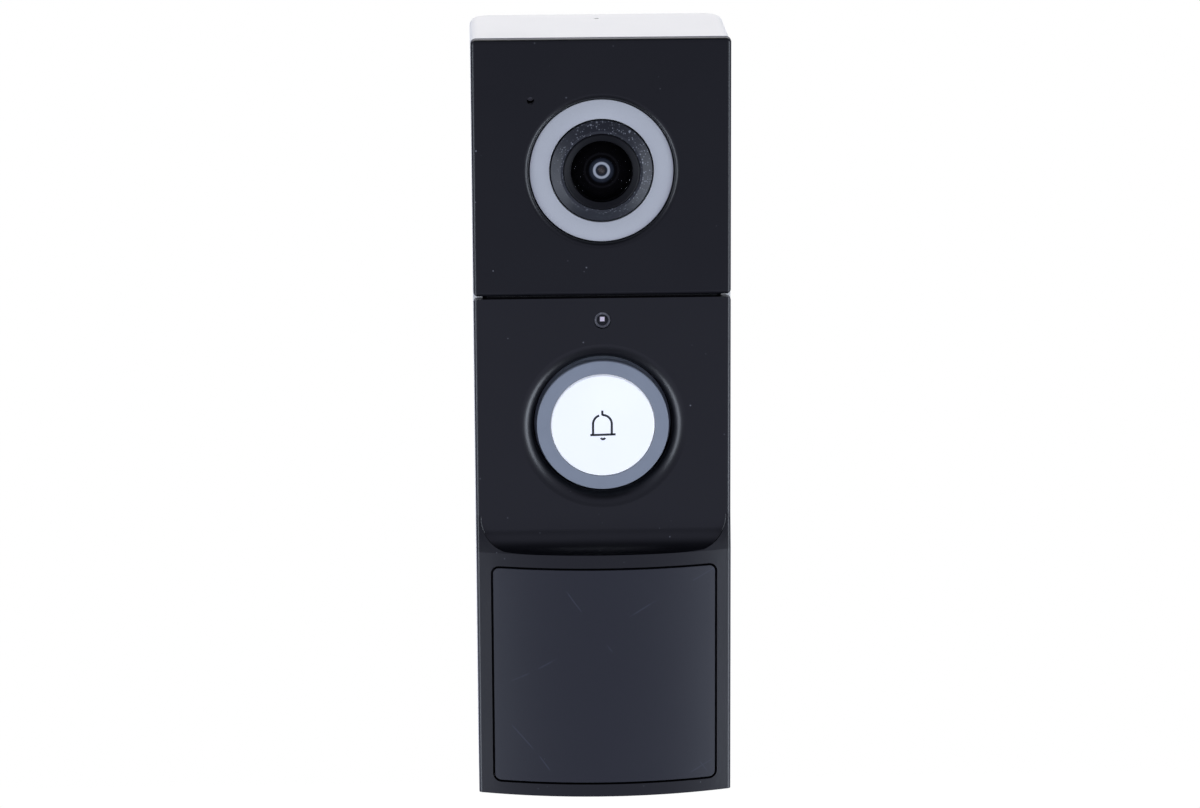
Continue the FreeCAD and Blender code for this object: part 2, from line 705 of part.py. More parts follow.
def make_release_latch():
    """The sliding frame that a pin pushes down to free the catch."""
    back, front = FLOOR_FRONT + S.latch_gap, S.latch_front
    top = INNER_TOP - S.latch_gap / 3
    nose = latch_nose_top()
    inner = S.latch_half - S.latch_leg
    body = new_body("latch_frame")
    plate(body, (-S.latch_half, S.latch_half), (back, front), (latch_bar_foot(), top), dim(0.4))
    sink_rounded(body, (-inner, inner), (back, front), (nose, top - S.pad_tall), dim(0.4))
    sketch = new_sketch(body, "XZ_Plane", front)
    low = nose - S.nose_tall
    draw(sketch, [(-inner, low), (inner, low), (inner, nose + 0.5), (-inner, nose + 0.5)])
    pocket(body, sketch, front - (S.catch_reach - S.lip_thick - S.latch_gap))
    return keep(body, "release_latch")


def make_latch_spring():
    """The coil spring that holds the latch up; its ends are cut flat."""
    foot = latch_bar_foot().value - S.coil_free.value
    length = S.coil_free.value
    wire, mean = S.coil_wire.value, S.coil_mean.value
    pitch = (length - 2 * wire) / COIL_TURNS
    path = Part.makeHelix(pitch, pitch * COIL_TURNS, mean)
    section = Part.Wire(Part.makeCircle(wire, Vector(mean, 0, 0), Vector(0, 1, 0)))
    coil = Part.Wire(path).makePipeShell([section], True, True)
    item = DOC.addObject("Part::Feature", "Coil")
    item.Shape = coil
    item.Placement = Placement(Vector(0, -S.pin_depth.value, foot + wire), Rotation())
    return keep(item, "latch_spring")


def make_latch_cover():
    """The plate that closes the latch's channel."""
    outer = S.latch_half + S.latch_gap + S.rail_thick
    start = S.latch_front + S.latch_gap
    shelf = latch_bar_foot() - S.coil_free
    cover = new_body("latch_cover")
    plate(cover, (-outer, outer), (start, start + S.board_thick),
          (shelf - S.rail_thick, INNER_TOP - 1), dim(0.8))
    return keep(cover, "latch_cover")


# ---------------------------------------------------------------- front frame and covers

def make_front_frame():
    """The frame behind the covers, with openings and six screw posts."""
    body = new_body("frame_plate")
    half, top = INNER_HALF - S.seal_wide, INNER_TOP - S.seal_wide
    plate(body, (-half, half), (FRAME_BACK, COVER_BACK), (-top, top), S.inner_corner)
    through = (FRAME_BACK, COVER_BACK)
    sink_rounds(body, [(0, S.lens_level)], S.ring_outer + 0.3, through)
    sink_rounds(body, [(0, S.button_level)], BORE_RADIUS + S.well_wall + 0.3, through)
    sink_rounds(body, [(0, S.window_level)], S.window_radius + 0.3, through)
    sink_rounds(body, [(-S.mic_offset, S.mic_level)], S.boot_radius, through)
    sink_rounded(body, (1.5 - S.panel_half, S.panel_half - 1.5), through,
                 (S.panel_foot + 1.5, S.panel_top - 1.5), S.panel_corner)
    posts = [rod("depth", spot, S.post_radius, (FLOOR_FRONT + 0.1, FRAME_BACK + 0.5))
             for spot in SCREW_PLACES]
    bores = [rod("depth", spot, S.screw_shank + S.screw_gap, (FLOOR_FRONT, FLOOR_FRONT + 9))
             for spot in SCREW_PLACES]
    return keep(cut(fuse([body] + posts), bores), "front_frame")


def make_head_cover():
    """The flat upper cover with its camera recess and microphone hole."""
    body = new_body("head_cover")
    seam = S.seam_level + S.seam_gap / 2
    depth = (COVER_BACK, S.face_depth)
    block(body, (-HALF_WIDTH, HALF_WIDTH), depth, (seam, HALF_HEIGHT))
    face, back = -S.face_depth.value, -COVER_BACK.value
    for radius, level in ((S.face_corner, HALF_HEIGHT), (S.seam_corner, seam)):
        round_edges(body, radius, lambda edge: is_level(edge, level.value, "z")
                    and not is_level(edge, face, "y") and not is_level(edge, back, "y"))
    round_edges(body, S.edge_round, lambda edge: is_level(edge, face, "y"))
    sink_rounds(body, [(0, S.lens_level)], S.ring_outer + S.ring_fit, depth)
    round_edges(body, S.rim_round, lambda edge: is_level(edge, face, "y") and edge.isClosed())
    sink_rounds(body, [(-S.mic_offset, S.mic_level)], S.mic_hole, depth)
    return keep(body, "head_cover")


def bow_section(sketch, half, apex, radius, edge, back):
    """A slice with a bowed front and softened front corners."""
    centre = apex - radius
    rise = ((radius - edge) * (radius - edge) - (half - edge) * (half - edge)).root()
    shift = radius / (radius - edge)
    side = centre + rise
    touch_x = (half - edge) * shift
    touch = centre + rise * shift
    points = [(-half, -dim(back)), (-half, -side), (-touch_x, -touch),
              (touch_x, -touch), (half, -side), (half, -dim(back))]
    draw(sketch, points, {1: (edge, 1), 2: (radius, 1), 3: (edge, 1)})


def flat_section(sketch, half, front, edge, back):
    """A slice with a flat front and softened front corners."""
    points = [(-half, -dim(back)), (-half, edge - front), (edge - half, -dim(front)),
              (half - edge, -dim(front)), (half, edge - front), (half, -dim(back))]
    draw(sketch, points, {1: (edge, 1), 3: (edge, 1)})


def cover_envelope():
    """The lower cover's outer form: bowed below the brow, easing to flat above it."""
    body = new_body("cover_envelope")
    low = new_sketch(body, "XY_Plane", -HALF_HEIGHT)
    bow_section(low, HALF_WIDTH, S.bow_depth, S.bow_radius, S.edge_round, COVER_BACK)
    pad(body, low, HALF_HEIGHT + S.brow_level)
    brow = new_sketch(body, "XY_Plane", S.brow_level)
    bow_section(brow, HALF_WIDTH, S.bow_depth, S.bow_radius, S.edge_round, COVER_BACK)
    eased = new_sketch(body, "XY_Plane", S.brow_level + S.rim_ease)
    flat_section(eased, HALF_WIDTH, S.face_depth, S.edge_round, COVER_BACK)
    loft = body.newObject("PartDesign::AdditiveLoft", "Loft")
    loft.Profile = brow
    loft.Sections = [eased]
    loft.Ruled = True
    DOC.recompute()
    upper = new_sketch(body, "XY_Plane", S.brow_level + S.rim_ease)
    flat_section(upper, HALF_WIDTH, S.face_depth, S.edge_round, COVER_BACK)
    pad(body, upper, S.seam_level - S.seam_gap / 2 - S.brow_level - S.rim_ease)
    return body


def scoop_outline():
    """The scoop's outline with round lower corners and a narrow cove at its sides."""
    body = new_body("scoop_outline")
    half, corner = S.scoop_half, S.scoop_corner
    sketch = new_sketch(body, "XZ_Plane", S.face_depth)
    top = S.seam_level + S.scoop_over
    low = S.brow_level
    points = [(-half, top), (-half, low + corner), (corner - half, low),
              (half - corner, low), (half, low + corner), (half, top)]
    draw(sketch, points, {1: (corner, 1), 3: (corner, 1)})
    pad(body, sketch, S.bow_depth - S.face_depth + S.scoop_over)
    face = -S.face_depth.value
    round_edges(body, S.scoop_side_cove, lambda edge: is_level(edge, face, "y")
                and not is_level(edge, top.value, "z"))
    return body


def scoop_foot():
    """A full-width block with a cove along its foot, which forms the brow's wall."""
    body = new_body("scoop_foot")
    past = HALF_WIDTH + S.scoop_over
    block(body, (-past, past), (S.face_depth, S.bow_depth + S.scoop_over),
          (S.brow_level, S.seam_level + S.scoop_over))
    face, low = -S.face_depth.value, S.brow_level.value
    round_edges(body, S.scoop_cove, lambda edge: is_level(edge, face, "y")
                and is_level(edge, low, "z"))
    return body


def bow_hollow():
    """The hollow behind the convex section."""
    body = new_body("bow_hollow")
    foot = -HALF_HEIGHT + S.shell_thick
    half = HALF_WIDTH - S.shell_thick
    sketch = new_sketch(body, "XY_Plane", foot)
    inner = S.bow_radius - S.shell_thick
    bow_section(sketch, half, S.bow_depth - S.shell_thick, inner, S.edge_round, COVER_BACK - 1)
    pad(body, sketch, S.brow_level - S.shell_thick - foot)
    return body


def panel_prism(grow):
    """A prism of the sensor panel's outline, grown on every side."""
    body = new_body("panel_prism")
    plate(body, (-S.panel_half - grow, S.panel_half + grow), (COVER_BACK - 1, S.bow_depth + 1),
          (S.panel_foot - grow, S.panel_top + grow), S.panel_corner + grow)
    return body


def well_rim_tool():
    """What opens the button well: a bore that flares in a round rim."""
    back = S.face_depth - S.well_deep - 1
    top = S.face_depth + 0.01
    bore, rim = BORE_RADIUS, S.bore_round
    points = [(0, back), (bore, back), (bore, S.face_depth - rim),
              (bore + rim, S.face_depth), (bore + rim, top + 1), (0, top + 1)]
    return turned("well_tool", points, {2: (rim, 1)}, (0, S.button_level))


def make_lower_cover():
    """The lower cover: scoop, button well, sensor window, brow and panel frame."""
    level = (0, S.button_level)
    well = rod("depth", level, BORE_RADIUS + S.well_wall,
               (S.face_depth - S.well_deep, S.face_depth - S.cover_plate / 2))
    outline = new_body("cover_outline")
    plate(outline, (-HALF_WIDTH, HALF_WIDTH), (COVER_BACK - 1, S.bow_depth + 1),
          (-HALF_HEIGHT - S.scoop_over, S.seam_level - S.seam_gap / 2), S.seam_corner)
    solid = fuse([common(cover_envelope(), outline), well])
    tools = [common(scoop_outline(), scoop_foot()), bow_hollow(), panel_prism(S.panel_gap), well_rim_tool(),
             rod("depth", (0, S.window_level), S.window_radius + 0.05,
                 (COVER_BACK - 1, S.face_depth + 1))]
    carved = cut(solid, tools)
    return keep(carved, "lower_cover")


# ---------------------------------------------------------------- camera

def make_camera_trim_ring():
    """The flat bright ring round the camera."""
    front = S.face_depth - S.ring_sink
    back = front - S.ring_thick
    bevel = dim(0.12)
    inner, outer = S.ring_inner, S.ring_outer
    points = [(inner, back), (outer, back), (outer, front - bevel), (outer - bevel, front),
              (inner + bevel, front), (inner, front - bevel)]
    return keep(turned("camera_trim_ring", points, None, (0, S.lens_level)), "camera_trim_ring")


def make_camera_cone():
    """The dark infrared window that rises to the lens, with a flange behind the ring."""
    foot = S.face_depth - S.ring_sink
    top = foot + S.cone_rise
    inner = S.barrel_radius + S.barrel_fit
    outer = S.ring_inner - S.cone_gap
    seat = foot - S.ring_thick
    wall = S.cone_wall
    points = [(inner, top - wall * 2), (inner, top), (inner + 0.5, top), (outer, foot),
              (outer, seat), (S.cone_flange, seat), (S.cone_flange, seat - wall),
              (outer - wall, seat - wall), (outer - wall, foot - wall),
              (inner + 0.6, top - wall * 2)]
    return keep(turned("camera_cone", points, None, (0, S.lens_level)), "camera_cone")


def make_lens_barrel():
    """The lens barrel: a tube with a sloping front and steps for the lenses."""
    front, back = S.barrel_front, S.barrel_front - S.barrel_long
    seat = front - S.barrel_slope - S.glass_thick - 0.3
    step = seat - 1.0
    points = [(S.second_radius, back), (S.barrel_radius, back),
              (S.barrel_radius, front), (S.barrel_radius - 0.2, front + 0.1),
              (S.glass_radius, front - S.barrel_slope), (S.glass_radius, seat),
              (S.second_radius + 1, seat), (S.second_radius, step)]
    return keep(turned("lens_barrel", points, None, (0, S.lens_level)), "lens_barrel")


def glass_rim():
    """Depth of the front glass's rim."""
    return S.barrel_front - S.barrel_slope - 0.1


def make_lens_dome():
    """The front glass: a meniscus that stands out of the barrel."""
    radius = S.glass_radius - 0.03
    rim = glass_rim()
    rise = S.glass_curve - (S.glass_curve * S.glass_curve - radius * radius).root()
    inner = S.glass_curve - S.glass_thick
    inside = radius - 0.6
    dip = inner - (inner * inner - inside * inside).root()
    points = [(0, rim - 0.2 + dip), (inside, rim - 0.2), (inside, rim - S.glass_thick),
              (radius, rim - S.glass_thick), (radius, rim), (0, rim + rise)]
    arcs = {0: (inner, 1), 4: (S.glass_curve, -1)}
    return keep(turned("lens_dome", points, arcs, (0, S.lens_level)), "lens_dome")


def lens_bottom():
    """Depth of the ledge inside the barrel where the inner lenses stack."""
    return S.barrel_front - S.barrel_slope - S.glass_thick - 1.3


def make_second_lens():
    """The second glass of the camera."""
    radius = S.second_radius - 0.02
    back = lens_bottom() - 1.6
    rise = S.second_curve - (S.second_curve * S.second_curve - radius * radius).root()
    points = [(0, back), (radius, back), (radius, back + 1.0), (0, back + 1.0 + rise)]
    arcs = {2: (S.second_curve, -1)}
    return keep(turned("second_lens", points, arcs, (0, S.lens_level)), "second_lens")


def make_aperture_ring():
    """The thin ring that forms the camera's aperture."""
    front = lens_bottom() - 1.7
    points = [(S.iris_inner, front - 0.5), (S.iris_outer - 0.02, front - 0.5),
              (S.iris_outer - 0.02, front), (S.iris_inner + 0.6, front), (S.iris_inner, front - 0.3)]
    return keep(turned("aperture_ring", points, None, (0, S.lens_level)), "aperture_ring")


def make_rear_lens():
    """The rear glass, between the aperture and the image sensor."""
    front = lens_bottom() - 2.4
    radius = S.rear_lens_radius
    points = [(0, front - 2.2), (radius, front - 1.6), (radius, front - 0.6), (0, front)]
    return keep(turned("rear_lens", points, None, (0, S.lens_level)), "rear_lens")


def camera_board_front():
    """Depth of the camera board's front face."""
    return S.barrel_front - S.barrel_long - 2.8


def make_lens_holder():
    """The square mount that carries the barrel on the camera board."""
    half, level = S.holder_half, S.lens_level
    front = camera_board_front() + 7
    shell = box((-half, half), (camera_board_front(), front), (level - half, level + half))
    bore = rod("depth", (0, level), S.barrel_radius + 0.02,
               (camera_board_front() + 2.8, front + 1))
    room = S.sensor_half + 1.5
    chamber = box((-room, room), (camera_board_front() - 1, camera_board_front() + 3),
                  (level - room, level + room))
    return keep(cut(shell, [bore, chamber]), "lens_holder")


def make_image_sensor():
    """The image sensor on the camera board."""
    half, level = S.sensor_half, S.lens_level
    front = camera_board_front()
    return keep(box((-half, half), (front, front + 1.1), (level - half, level + half)),
                "image_sensor")


def make_camera_board():
    """The board behind the lens."""
    half, tall = S.camera_board_half, S.camera_board_tall / 2
    front = camera_board_front()
    body = new_body("camera_board")
    plate(body, (-half, half), (front - S.board_thick, front),
          (S.lens_level - tall, S.lens_level + tall), dim(1.5))
    return keep(body, "camera_board")


def front_board_back():
    """Depth of the rear face of the board that carries lamps and microphone."""
    return FRAME_BACK - S.board_thick - 0.2


def make_front_board():
    """The board round the barrel, for the infrared lamps and the microphone."""
    back = front_board_back()
    half = S.front_board_half
    low, high = S.lens_level - S.front_board_low, S.mic_level + S.front_board_high
    body = new_body("front_board")
    depth = (back, back + S.board_thick)
    plate(body, (-half, half), depth, (low, high), dim(2.0))
    sink_rounds(body, [(0, S.lens_level)], S.barrel_radius + 0.3, depth)
    return keep(body, "front_board")


def make_infrared_lamps():
    """The ring of infrared lamps under the camera cone."""
    front = front_board_back() + S.board_thick
    lamps = []
    for number in range(INFRARED_LAMPS):
        turn = 2 * math.pi * number / INFRARED_LAMPS
        middle_x = S.led_ring * math.cos(turn)
        middle_z = S.lens_level + S.led_ring * math.sin(turn)
        half = S.lamp_half
        lamps.append(box((middle_x - half, middle_x + half), (front, front + S.lamp_tall),
                         (middle_z - half, middle_z + half)))
    return keep(group(lamps), "infrared_lamps")


def make_microphone():
    """The microphone behind its hole."""
    front = front_board_back() + S.board_thick
    x, z = -S.mic_offset, S.mic_level
    return keep(box((x - 1.8, x + 1.8), (front, front + 1.1), (z - 1.4, z + 1.4)), "microphone")


def make_microphone_boot():
    """The rubber boot that seals the microphone to the head cover."""
    spot = (-S.mic_offset, S.mic_level)
    start = front_board_back() + S.board_thick + 1.1
    boot = rod("depth", spot, S.boot_radius - 0.02, (start, COVER_BACK))
    bore = rod("depth", spot, S.mic_hole, (start - 1, COVER_BACK + 1))
    return keep(cut(boot, [bore]), "microphone_boot")


# ---------------------------------------------------------------- button group

def halo_front():
    """Depth of the light ring's face."""
    return S.face_depth - S.cap_sink - 0.1


def cap_flange_front():
    """Depth of the front of the cap's flange, just behind the light ring."""
    return S.face_depth - S.cap_sink - S.cap_thick - 1.3


def make_button_light_ring():
    """The translucent ring round the button."""
    front = halo_front()
    back = cap_flange_front() + 0.1
    inner = HALO_INNER
    lip = dim(0.15)
    points = [(inner, back), (CAP_FLANGE + 0.4, back), (CAP_FLANGE + 0.4, back - 1),
              (HALO_FLANGE, back - 1), (HALO_FLANGE, back), (HALO_OUTER, back + 0.4),
              (HALO_OUTER, front - lip), (HALO_OUTER - lip, front),
              (inner + lip / 2, front), (inner, front - lip / 2)]
    return keep(turned("button_light_ring", points, None, (0, S.button_level)),
                "button_light_ring")


def make_button_cap():
    """The pressed disc with its skirt, flange and middle stud."""
    front = S.face_depth - S.cap_sink
    under = front - S.cap_thick
    flange = cap_flange_front()
    lip = dim(0.25)
    radius = S.cap_radius
    points = [(0, under - 0.8), (2.4, under - 0.8), (2.4, under), (radius - 1.2, under),
              (radius - 1.2, flange - 0.6), (CAP_FLANGE, flange - 0.6), (CAP_FLANGE, flange),
              (radius, flange), (radius, front - lip), (radius - lip, front), (0, front)]
    return keep(turned("button_cap", points, {8: (lip, 1)}, (0, S.button_level)), "button_cap")


def make_switch_plunger():
    """The switch's moving stem, under the cap's stud."""
    front = S.face_depth - S.cap_sink - S.cap_thick - 0.8
    return keep(rod("depth", (0, S.button_level), S.plunger_radius, (front - 1.2, front)),
                "switch_plunger")


def make_button_switch():
    """The switch body with the plunger's bore."""
    half, level = S.switch_half, S.button_level
    back = S.button_board_back + S.board_thick
    stud = S.face_depth - S.cap_sink - S.cap_thick - 0.8
    front = stud - S.press_travel - 0.15
    shell = box((-half, half), (back, front), (level - half, level + half))
    bore = rod("depth", (0, level), S.plunger_radius + S.plunger_fit,
               (stud - 1.2 - S.press_travel - 0.1, front + 1))
    return keep(cut(shell, [bore]), "button_switch")


def make_button_board():
    """The round board behind the button, with a tongue for the light sensor."""
    depth = (S.button_board_back, S.button_board_back + S.board_thick)
    disc = rod("depth", (0, S.button_level), S.button_board_radius, depth)
    tongue = box((-3, 3), depth, (S.button_level, S.window_level + 2.5))
    return keep(fuse([disc, tongue]), "button_board")


def make_button_lamps():
    """The lamps that light the ring from behind."""
    front = S.button_board_back + S.board_thick
    lamps = []
    for number in range(HALO_LAMPS):
        turn = 2 * math.pi * (number + 0.5) / HALO_LAMPS
        ring = (S.cap_radius + HALO_OUTER) / 2
        x = ring * math.cos(turn)
        z = S.button_level + ring * math.sin(turn)
        lamps.append(box((x - 0.8, x + 0.8), (front, front + 0.6), (z - 0.8, z + 0.8)))
    return keep(group(lamps), "button_lamps")


def make_button_seal():
    """The soft ring that seals the light ring to the button board."""
    start = S.button_board_back + S.board_thick
    end = cap_flange_front() - 0.9
    level = (0, S.button_level)
    outer = rod("depth", level, HALO_FLANGE + 1.0, (start, end))
    hole = rod("depth", level, HALO_FLANGE - 0.3, (start - 1, end + 1))
    return keep(cut(outer, [hole]), "button_seal")


def make_sensor_window():
    """The clear light pipe over the light sensor."""
    back = S.button_board_back + S.board_thick + 0.9
    return keep(rod("depth", (0, S.window_level), S.window_radius, (back, S.face_depth - 0.1)),
                "sensor_window")


def make_light_sensor():
    """The small pale chip behind the window."""
    front = S.button_board_back + S.board_thick
    level = S.window_level
    return keep(box((-0.8, 0.8), (front, front + 0.8), (level - 0.8, level + 0.8)),
                "light_sensor")


# ---------------------------------------------------------------- movement sensor

def make_sensor_panel():
    """The dark curved panel in front of the movement sensor."""
    body = new_body("panel_shell")
    outer = S.bow_radius
    inner = outer - S.panel_thick
    centre = S.bow_depth - outer
    half = S.panel_half + 1
    sketch = new_sketch(body, "XY_Plane", S.panel_foot - 1)
    front = centre + (outer * outer - half * half).root()
    back = centre + (inner * inner - half * half).root()
    points = [(-half, -front), (half, -front), (half, -back), (-half, -back)]
    draw(sketch, points, {0: (outer, 1), 2: (inner, -1)})
    pad(body, sketch, S.panel_top - S.panel_foot + 2)
    return keep(common(body, panel_prism(dim(0))), "sensor_panel")


def pir_level():
    """Height of the middle of the sensor panel."""
    return (S.panel_top + S.panel_foot) / 2


def make_pir_board():
    """The board of the movement sensor."""
    half, tall, level = S.pir_board_half, S.pir_board_tall / 2, pir_level()
    body = new_body("pir_board")
    plate(body, (-half, half), (S.button_board_back, S.button_board_back + S.board_thick),
          (level - tall, level + tall), dim(1.5))
    return keep(body, "pir_board")


def make_pir_sensor():
    """The round can of the movement sensor, with its base flange."""
    start = S.button_board_back + S.board_thick
    spot = (0, pir_level())
    can = rod("depth", spot, S.pir_radius - 0.5, (start, start + S.pir_tall))
    base = rod("depth", spot, S.pir_radius, (start, start + 0.7))
    return keep(fuse([can, base]), "pir_sensor")


# ---------------------------------------------------------------- power and main board

def cell_depth():
    """Depth of the battery cells' axes."""
    return FLOOR_FRONT + 0.2 + S.tray_wall + 0.2 + S.cell_radius


def make_battery_cells():
    """Two cells side by side."""
    cells = []
    for side in (-1, 1):
        spot = (side * (S.cell_radius + S.cell_space / 2), cell_depth())
        can = rod("z", spot, S.cell_radius, (-S.cell_foot, S.cell_long - S.cell_foot - 0.8))
        tip = rod("z", spot, S.cell_radius * 0.33,
                  (S.cell_long - S.cell_foot - 1.2, S.cell_long - S.cell_foot))
        cells.append(fuse([can, tip]))
    return keep(group(cells), "battery_cells")


def make_battery_tray():
    """The open cradle that holds the cells."""
    wall = S.tray_wall
    inner = S.cell_radius * 2 + S.cell_space / 2 + 0.15
    back = FLOOR_FRONT + 0.2
    low, high = -S.cell_foot - 0.3, S.cell_long - S.cell_foot + 0.3
    body = new_body("battery_tray")
    plate(body, (-inner - wall, inner + wall), (back, back + S.tray_tall),
          (low - wall, high + wall), dim(1.2))
    sink_rounded(body, (-inner, inner), (back + wall, back + S.tray_tall), (low, high), dim(0.4))
    return keep(body, "battery_tray")


def make_main_board():
    """The main circuit board behind the camera."""
    body = new_body("main_board")
    plate(body, (-S.main_board_half, S.main_board_half),
          (S.main_board_back, S.main_board_back + S.board_thick),
          (S.main_board_low, S.main_board_high), dim(1.5))
    return keep(body, "main_board")


def make_shield_can():
    """The metal can over the radio and processor."""
    start = S.main_board_back + S.board_thick
    return keep(box((-12, 10), (start, start + S.can_tall), (38, 64)), "shield_can")


def make_wifi_antenna():
    """The flexible antenna strip under the housing's top."""
    level = INNER_TOP - 0.6
    return keep(box((-16, 16), (17, 27), (level, level + 0.3)), "wifi_antenna")


def make_terminal_block():
    """The wiring terminal block that shows in the rear recess."""
    half = S.block_half
    block = box((-half, half), (S.block_back, S.main_board_back), (S.block_low, S.block_high))
    level = (S.block_low + S.block_high) / 2
    bores = [rod("depth", (side * S.terminal_half, level), S.terminal_shank + 0.05,
                 (S.block_back - 1, S.main_board_back - 2)) for side in (-1, 1)]
    return keep(cut(block, bores), "terminal_block")


def make_terminal_screws():
    """Two screws that clamp the chime wires."""
    level = (S.block_low + S.block_high) / 2
    screws = []
    for side in (-1, 1):
        x = side * S.terminal_half
        head = rod("depth", (x, level), S.terminal_head, (S.block_back - 1.7, S.block_back - 0.05))
        shank = rod("depth", (x, level), S.terminal_shank,
                    (S.block_back - 0.5, S.main_board_back - 2.5))
        slot = box((x - 2, x + 2), (S.block_back - 2, S.block_back - 1.0),
                   (level - 0.35, level + 0.35))
        screws.append(cut(fuse([head, shank]), [slot]))
    return keep(group(screws), "terminal_screws")


# ---------------------------------------------------------------- foot of the housing

def port_board_depth():
    """Front and rear depth of the port board."""
    start = S.port_depth + S.port_tall / 2
    return (start, start + S.board_thick)


def make_port_board():
    """The small board of the charging port and the reset switch."""
    body = new_body("port_board")
    plate(body, (-17.2, S.reset_centre + 2.8), port_board_depth(),
          (-INNER_TOP + 0.3, -INNER_TOP + 10.5), dim(0.8))
    return keep(body, "port_board")


def make_charging_port():
    """The charging socket: a flat tube with a tongue."""
    half, tall, centre = S.port_half, S.port_tall / 2, S.port_centre
    foot = -INNER_TOP + 0.1
    shell = box((centre - half, centre + half), (S.port_depth - tall, S.port_depth + tall),
                (foot, foot + S.port_long))
    wall = S.port_wall
    room = box((centre - half + wall, centre + half - wall),
               (S.port_depth - tall + wall, S.port_depth + tall - wall),
               (foot - 1, foot + S.port_long - 1))
    tongue = box((centre - half + 1.1, centre + half - 1.1),
                 (S.port_depth - 0.35, S.port_depth + 0.35), (foot + 1, foot + S.port_long - 0.5))
    return keep(fuse([cut(shell, [room]), tongue]), "charging_port")


def make_port_flap():
    """The rubber flap over the charging port, with its hinge pin and plug."""
    low = -HALF_HEIGHT
    centre, half = S.port_centre, S.flap_half
    start = S.hinge_depth
    leaf = box((centre - half, centre + half), (start, start + S.flap_deep),
               (low, low + S.flap_thick))
    pin = rod("x", (start, low + S.flap_thick / 2), S.hinge_radius,
              (centre - half - 0.9, centre + half + 0.9))
    knuckle = rod("x", (start, low + S.flap_thick / 2), S.flap_thick / 2,
                  (centre - half, centre + half))
    plug = box((centre - S.port_half + 0.7, centre + S.port_half - 0.7),
               (S.port_depth - 0.8, S.port_depth + 0.8), (low + S.flap_thick / 2, low + 2.0))
    return keep(fuse([leaf, pin, knuckle, plug]), "port_flap")


def make_reset_button():
    """The reset button in the housing's foot."""
    spot = (S.reset_centre, S.port_depth)
    low = -HALF_HEIGHT + 0.2
    stem = rod("z", spot, S.reset_radius, (low, -INNER_TOP + 1.2))
    flange = rod("z", spot, S.reset_radius + S.reset_flange, (-INNER_TOP + 0.05, -INNER_TOP + 0.8))
    return keep(fuse([stem, flange]), "reset_button")


def make_reset_switch():
    """The switch that the reset button presses."""
    centre = S.reset_centre
    low = -INNER_TOP + 1.2 + S.reset_travel + 0.1
    return keep(box((centre - 1.75, centre + 1.75), (S.port_depth - 1.4, S.port_depth + 1.6),
                    (low, low + 2.2)), "reset_switch")


def make_speaker():
    """The speaker over its slots."""
    start = -INNER_TOP + 0.7
    x, depth = S.speaker_low, S.speaker_back
    frame = box((x, x + S.speaker_wide), (depth, depth + S.speaker_deep),
                (start, start + S.speaker_tall))
    magnet = rod("z", (x + S.speaker_wide / 2, depth + S.speaker_deep / 2), dim(4.2),
                 (start + S.speaker_tall - 0.5, start + S.speaker_tall + 1.2))
    return keep(fuse([frame, magnet]), "speaker")


def make_speaker_gasket():
    """The foam frame between the speaker and its slots."""
    x, depth = S.speaker_low, S.speaker_back
    level = (-INNER_TOP, -INNER_TOP + 0.7)
    outer = box((x, x + S.speaker_wide), (depth, depth + S.speaker_deep), level)
    inner = box((x + 1, x + S.speaker_wide - 1), (depth + 1, depth + S.speaker_deep - 1),
                (-INNER_TOP - 1, -INNER_TOP + 2))
    return keep(cut(outer, [inner]), "speaker_gasket")


# ---------------------------------------------------------------- assembly and output

MAKERS = [
    make_wall_bracket, make_rear_housing, make_housing_seal, make_case_screws,
    make_release_latch, make_latch_spring, make_latch_cover, make_front_frame,
    make_head_cover, make_lower_cover, make_camera_trim_ring, make_camera_cone,
    make_lens_barrel, make_lens_dome, make_second_lens, make_aperture_ring, make_rear_lens,
    make_lens_holder, make_image_sensor, make_camera_board, make_front_board,
    make_infrared_lamps, make_microphone, make_microphone_boot, make_button_light_ring,
    make_button_cap, make_switch_plunger, make_button_switch, make_button_board,
    make_button_lamps, make_button_seal, make_sensor_window, make_light_sensor,
    make_sensor_panel, make_pir_board, make_pir_sensor, make_battery_cells,
    make_battery_tray, make_main_board, make_shield_can, make_wifi_antenna,
    make_terminal_block, make_terminal_screws, make_port_board, make_charging_port,
    make_port_flap, make_reset_button, make_reset_switch, make_speaker, make_speaker_gasket,
]


def check_document():
    """Stop if any object of the document failed or any sub-part is not a sound solid."""
    for item in DOC.Objects:
        if "Invalid" in item.State or "Error" in item.State:
            raise ValueError(f"{item.Label} failed: {item.State}")
    for piece in PIECES:
        shape = piece.Shape
        if shape.isNull() or not shape.isValid() or not shape.Solids:
            raise ValueError(f"{piece.Label} has no sound shape")


def write_parts():
    """Write each sub-part to its own file."""
    os.makedirs("parts", exist_ok=True)
    for piece in PIECES:
        piece.Shape.exportStep(f"parts/{piece.Label}.step")
        bounds = piece.Shape.BoundBox
        print(f"{piece.Label:20s} solids {len(piece.Shape.Solids):2d}  volume "
              f"{piece.Shape.Volume:10.2f}  x {bounds.XMin:7.2f} {bounds.XMax:7.2f}  "
              f"y {bounds.YMin:7.2f} {bounds.YMax:7.2f}  z {bounds.ZMin:7.2f} {bounds.ZMax:7.2f}")


for maker in MAKERS:
    maker()
DOC.recompute()
check_document()
write_parts()
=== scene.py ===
"""Looks of a battery video doorbell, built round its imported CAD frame.

Each sub-assembly is a class that builds its own meshes and dresses the frame's nodes, and
each finish is a small frozen class that builds one node material. Lengths are in metres.
"""
from __future__ import annotations

import json
import logging
import math
from dataclasses import dataclass, field
from enum import Enum
from typing import Any, Callable, Sequence

import bmesh
import bpy
from mathutils import Matrix, Vector

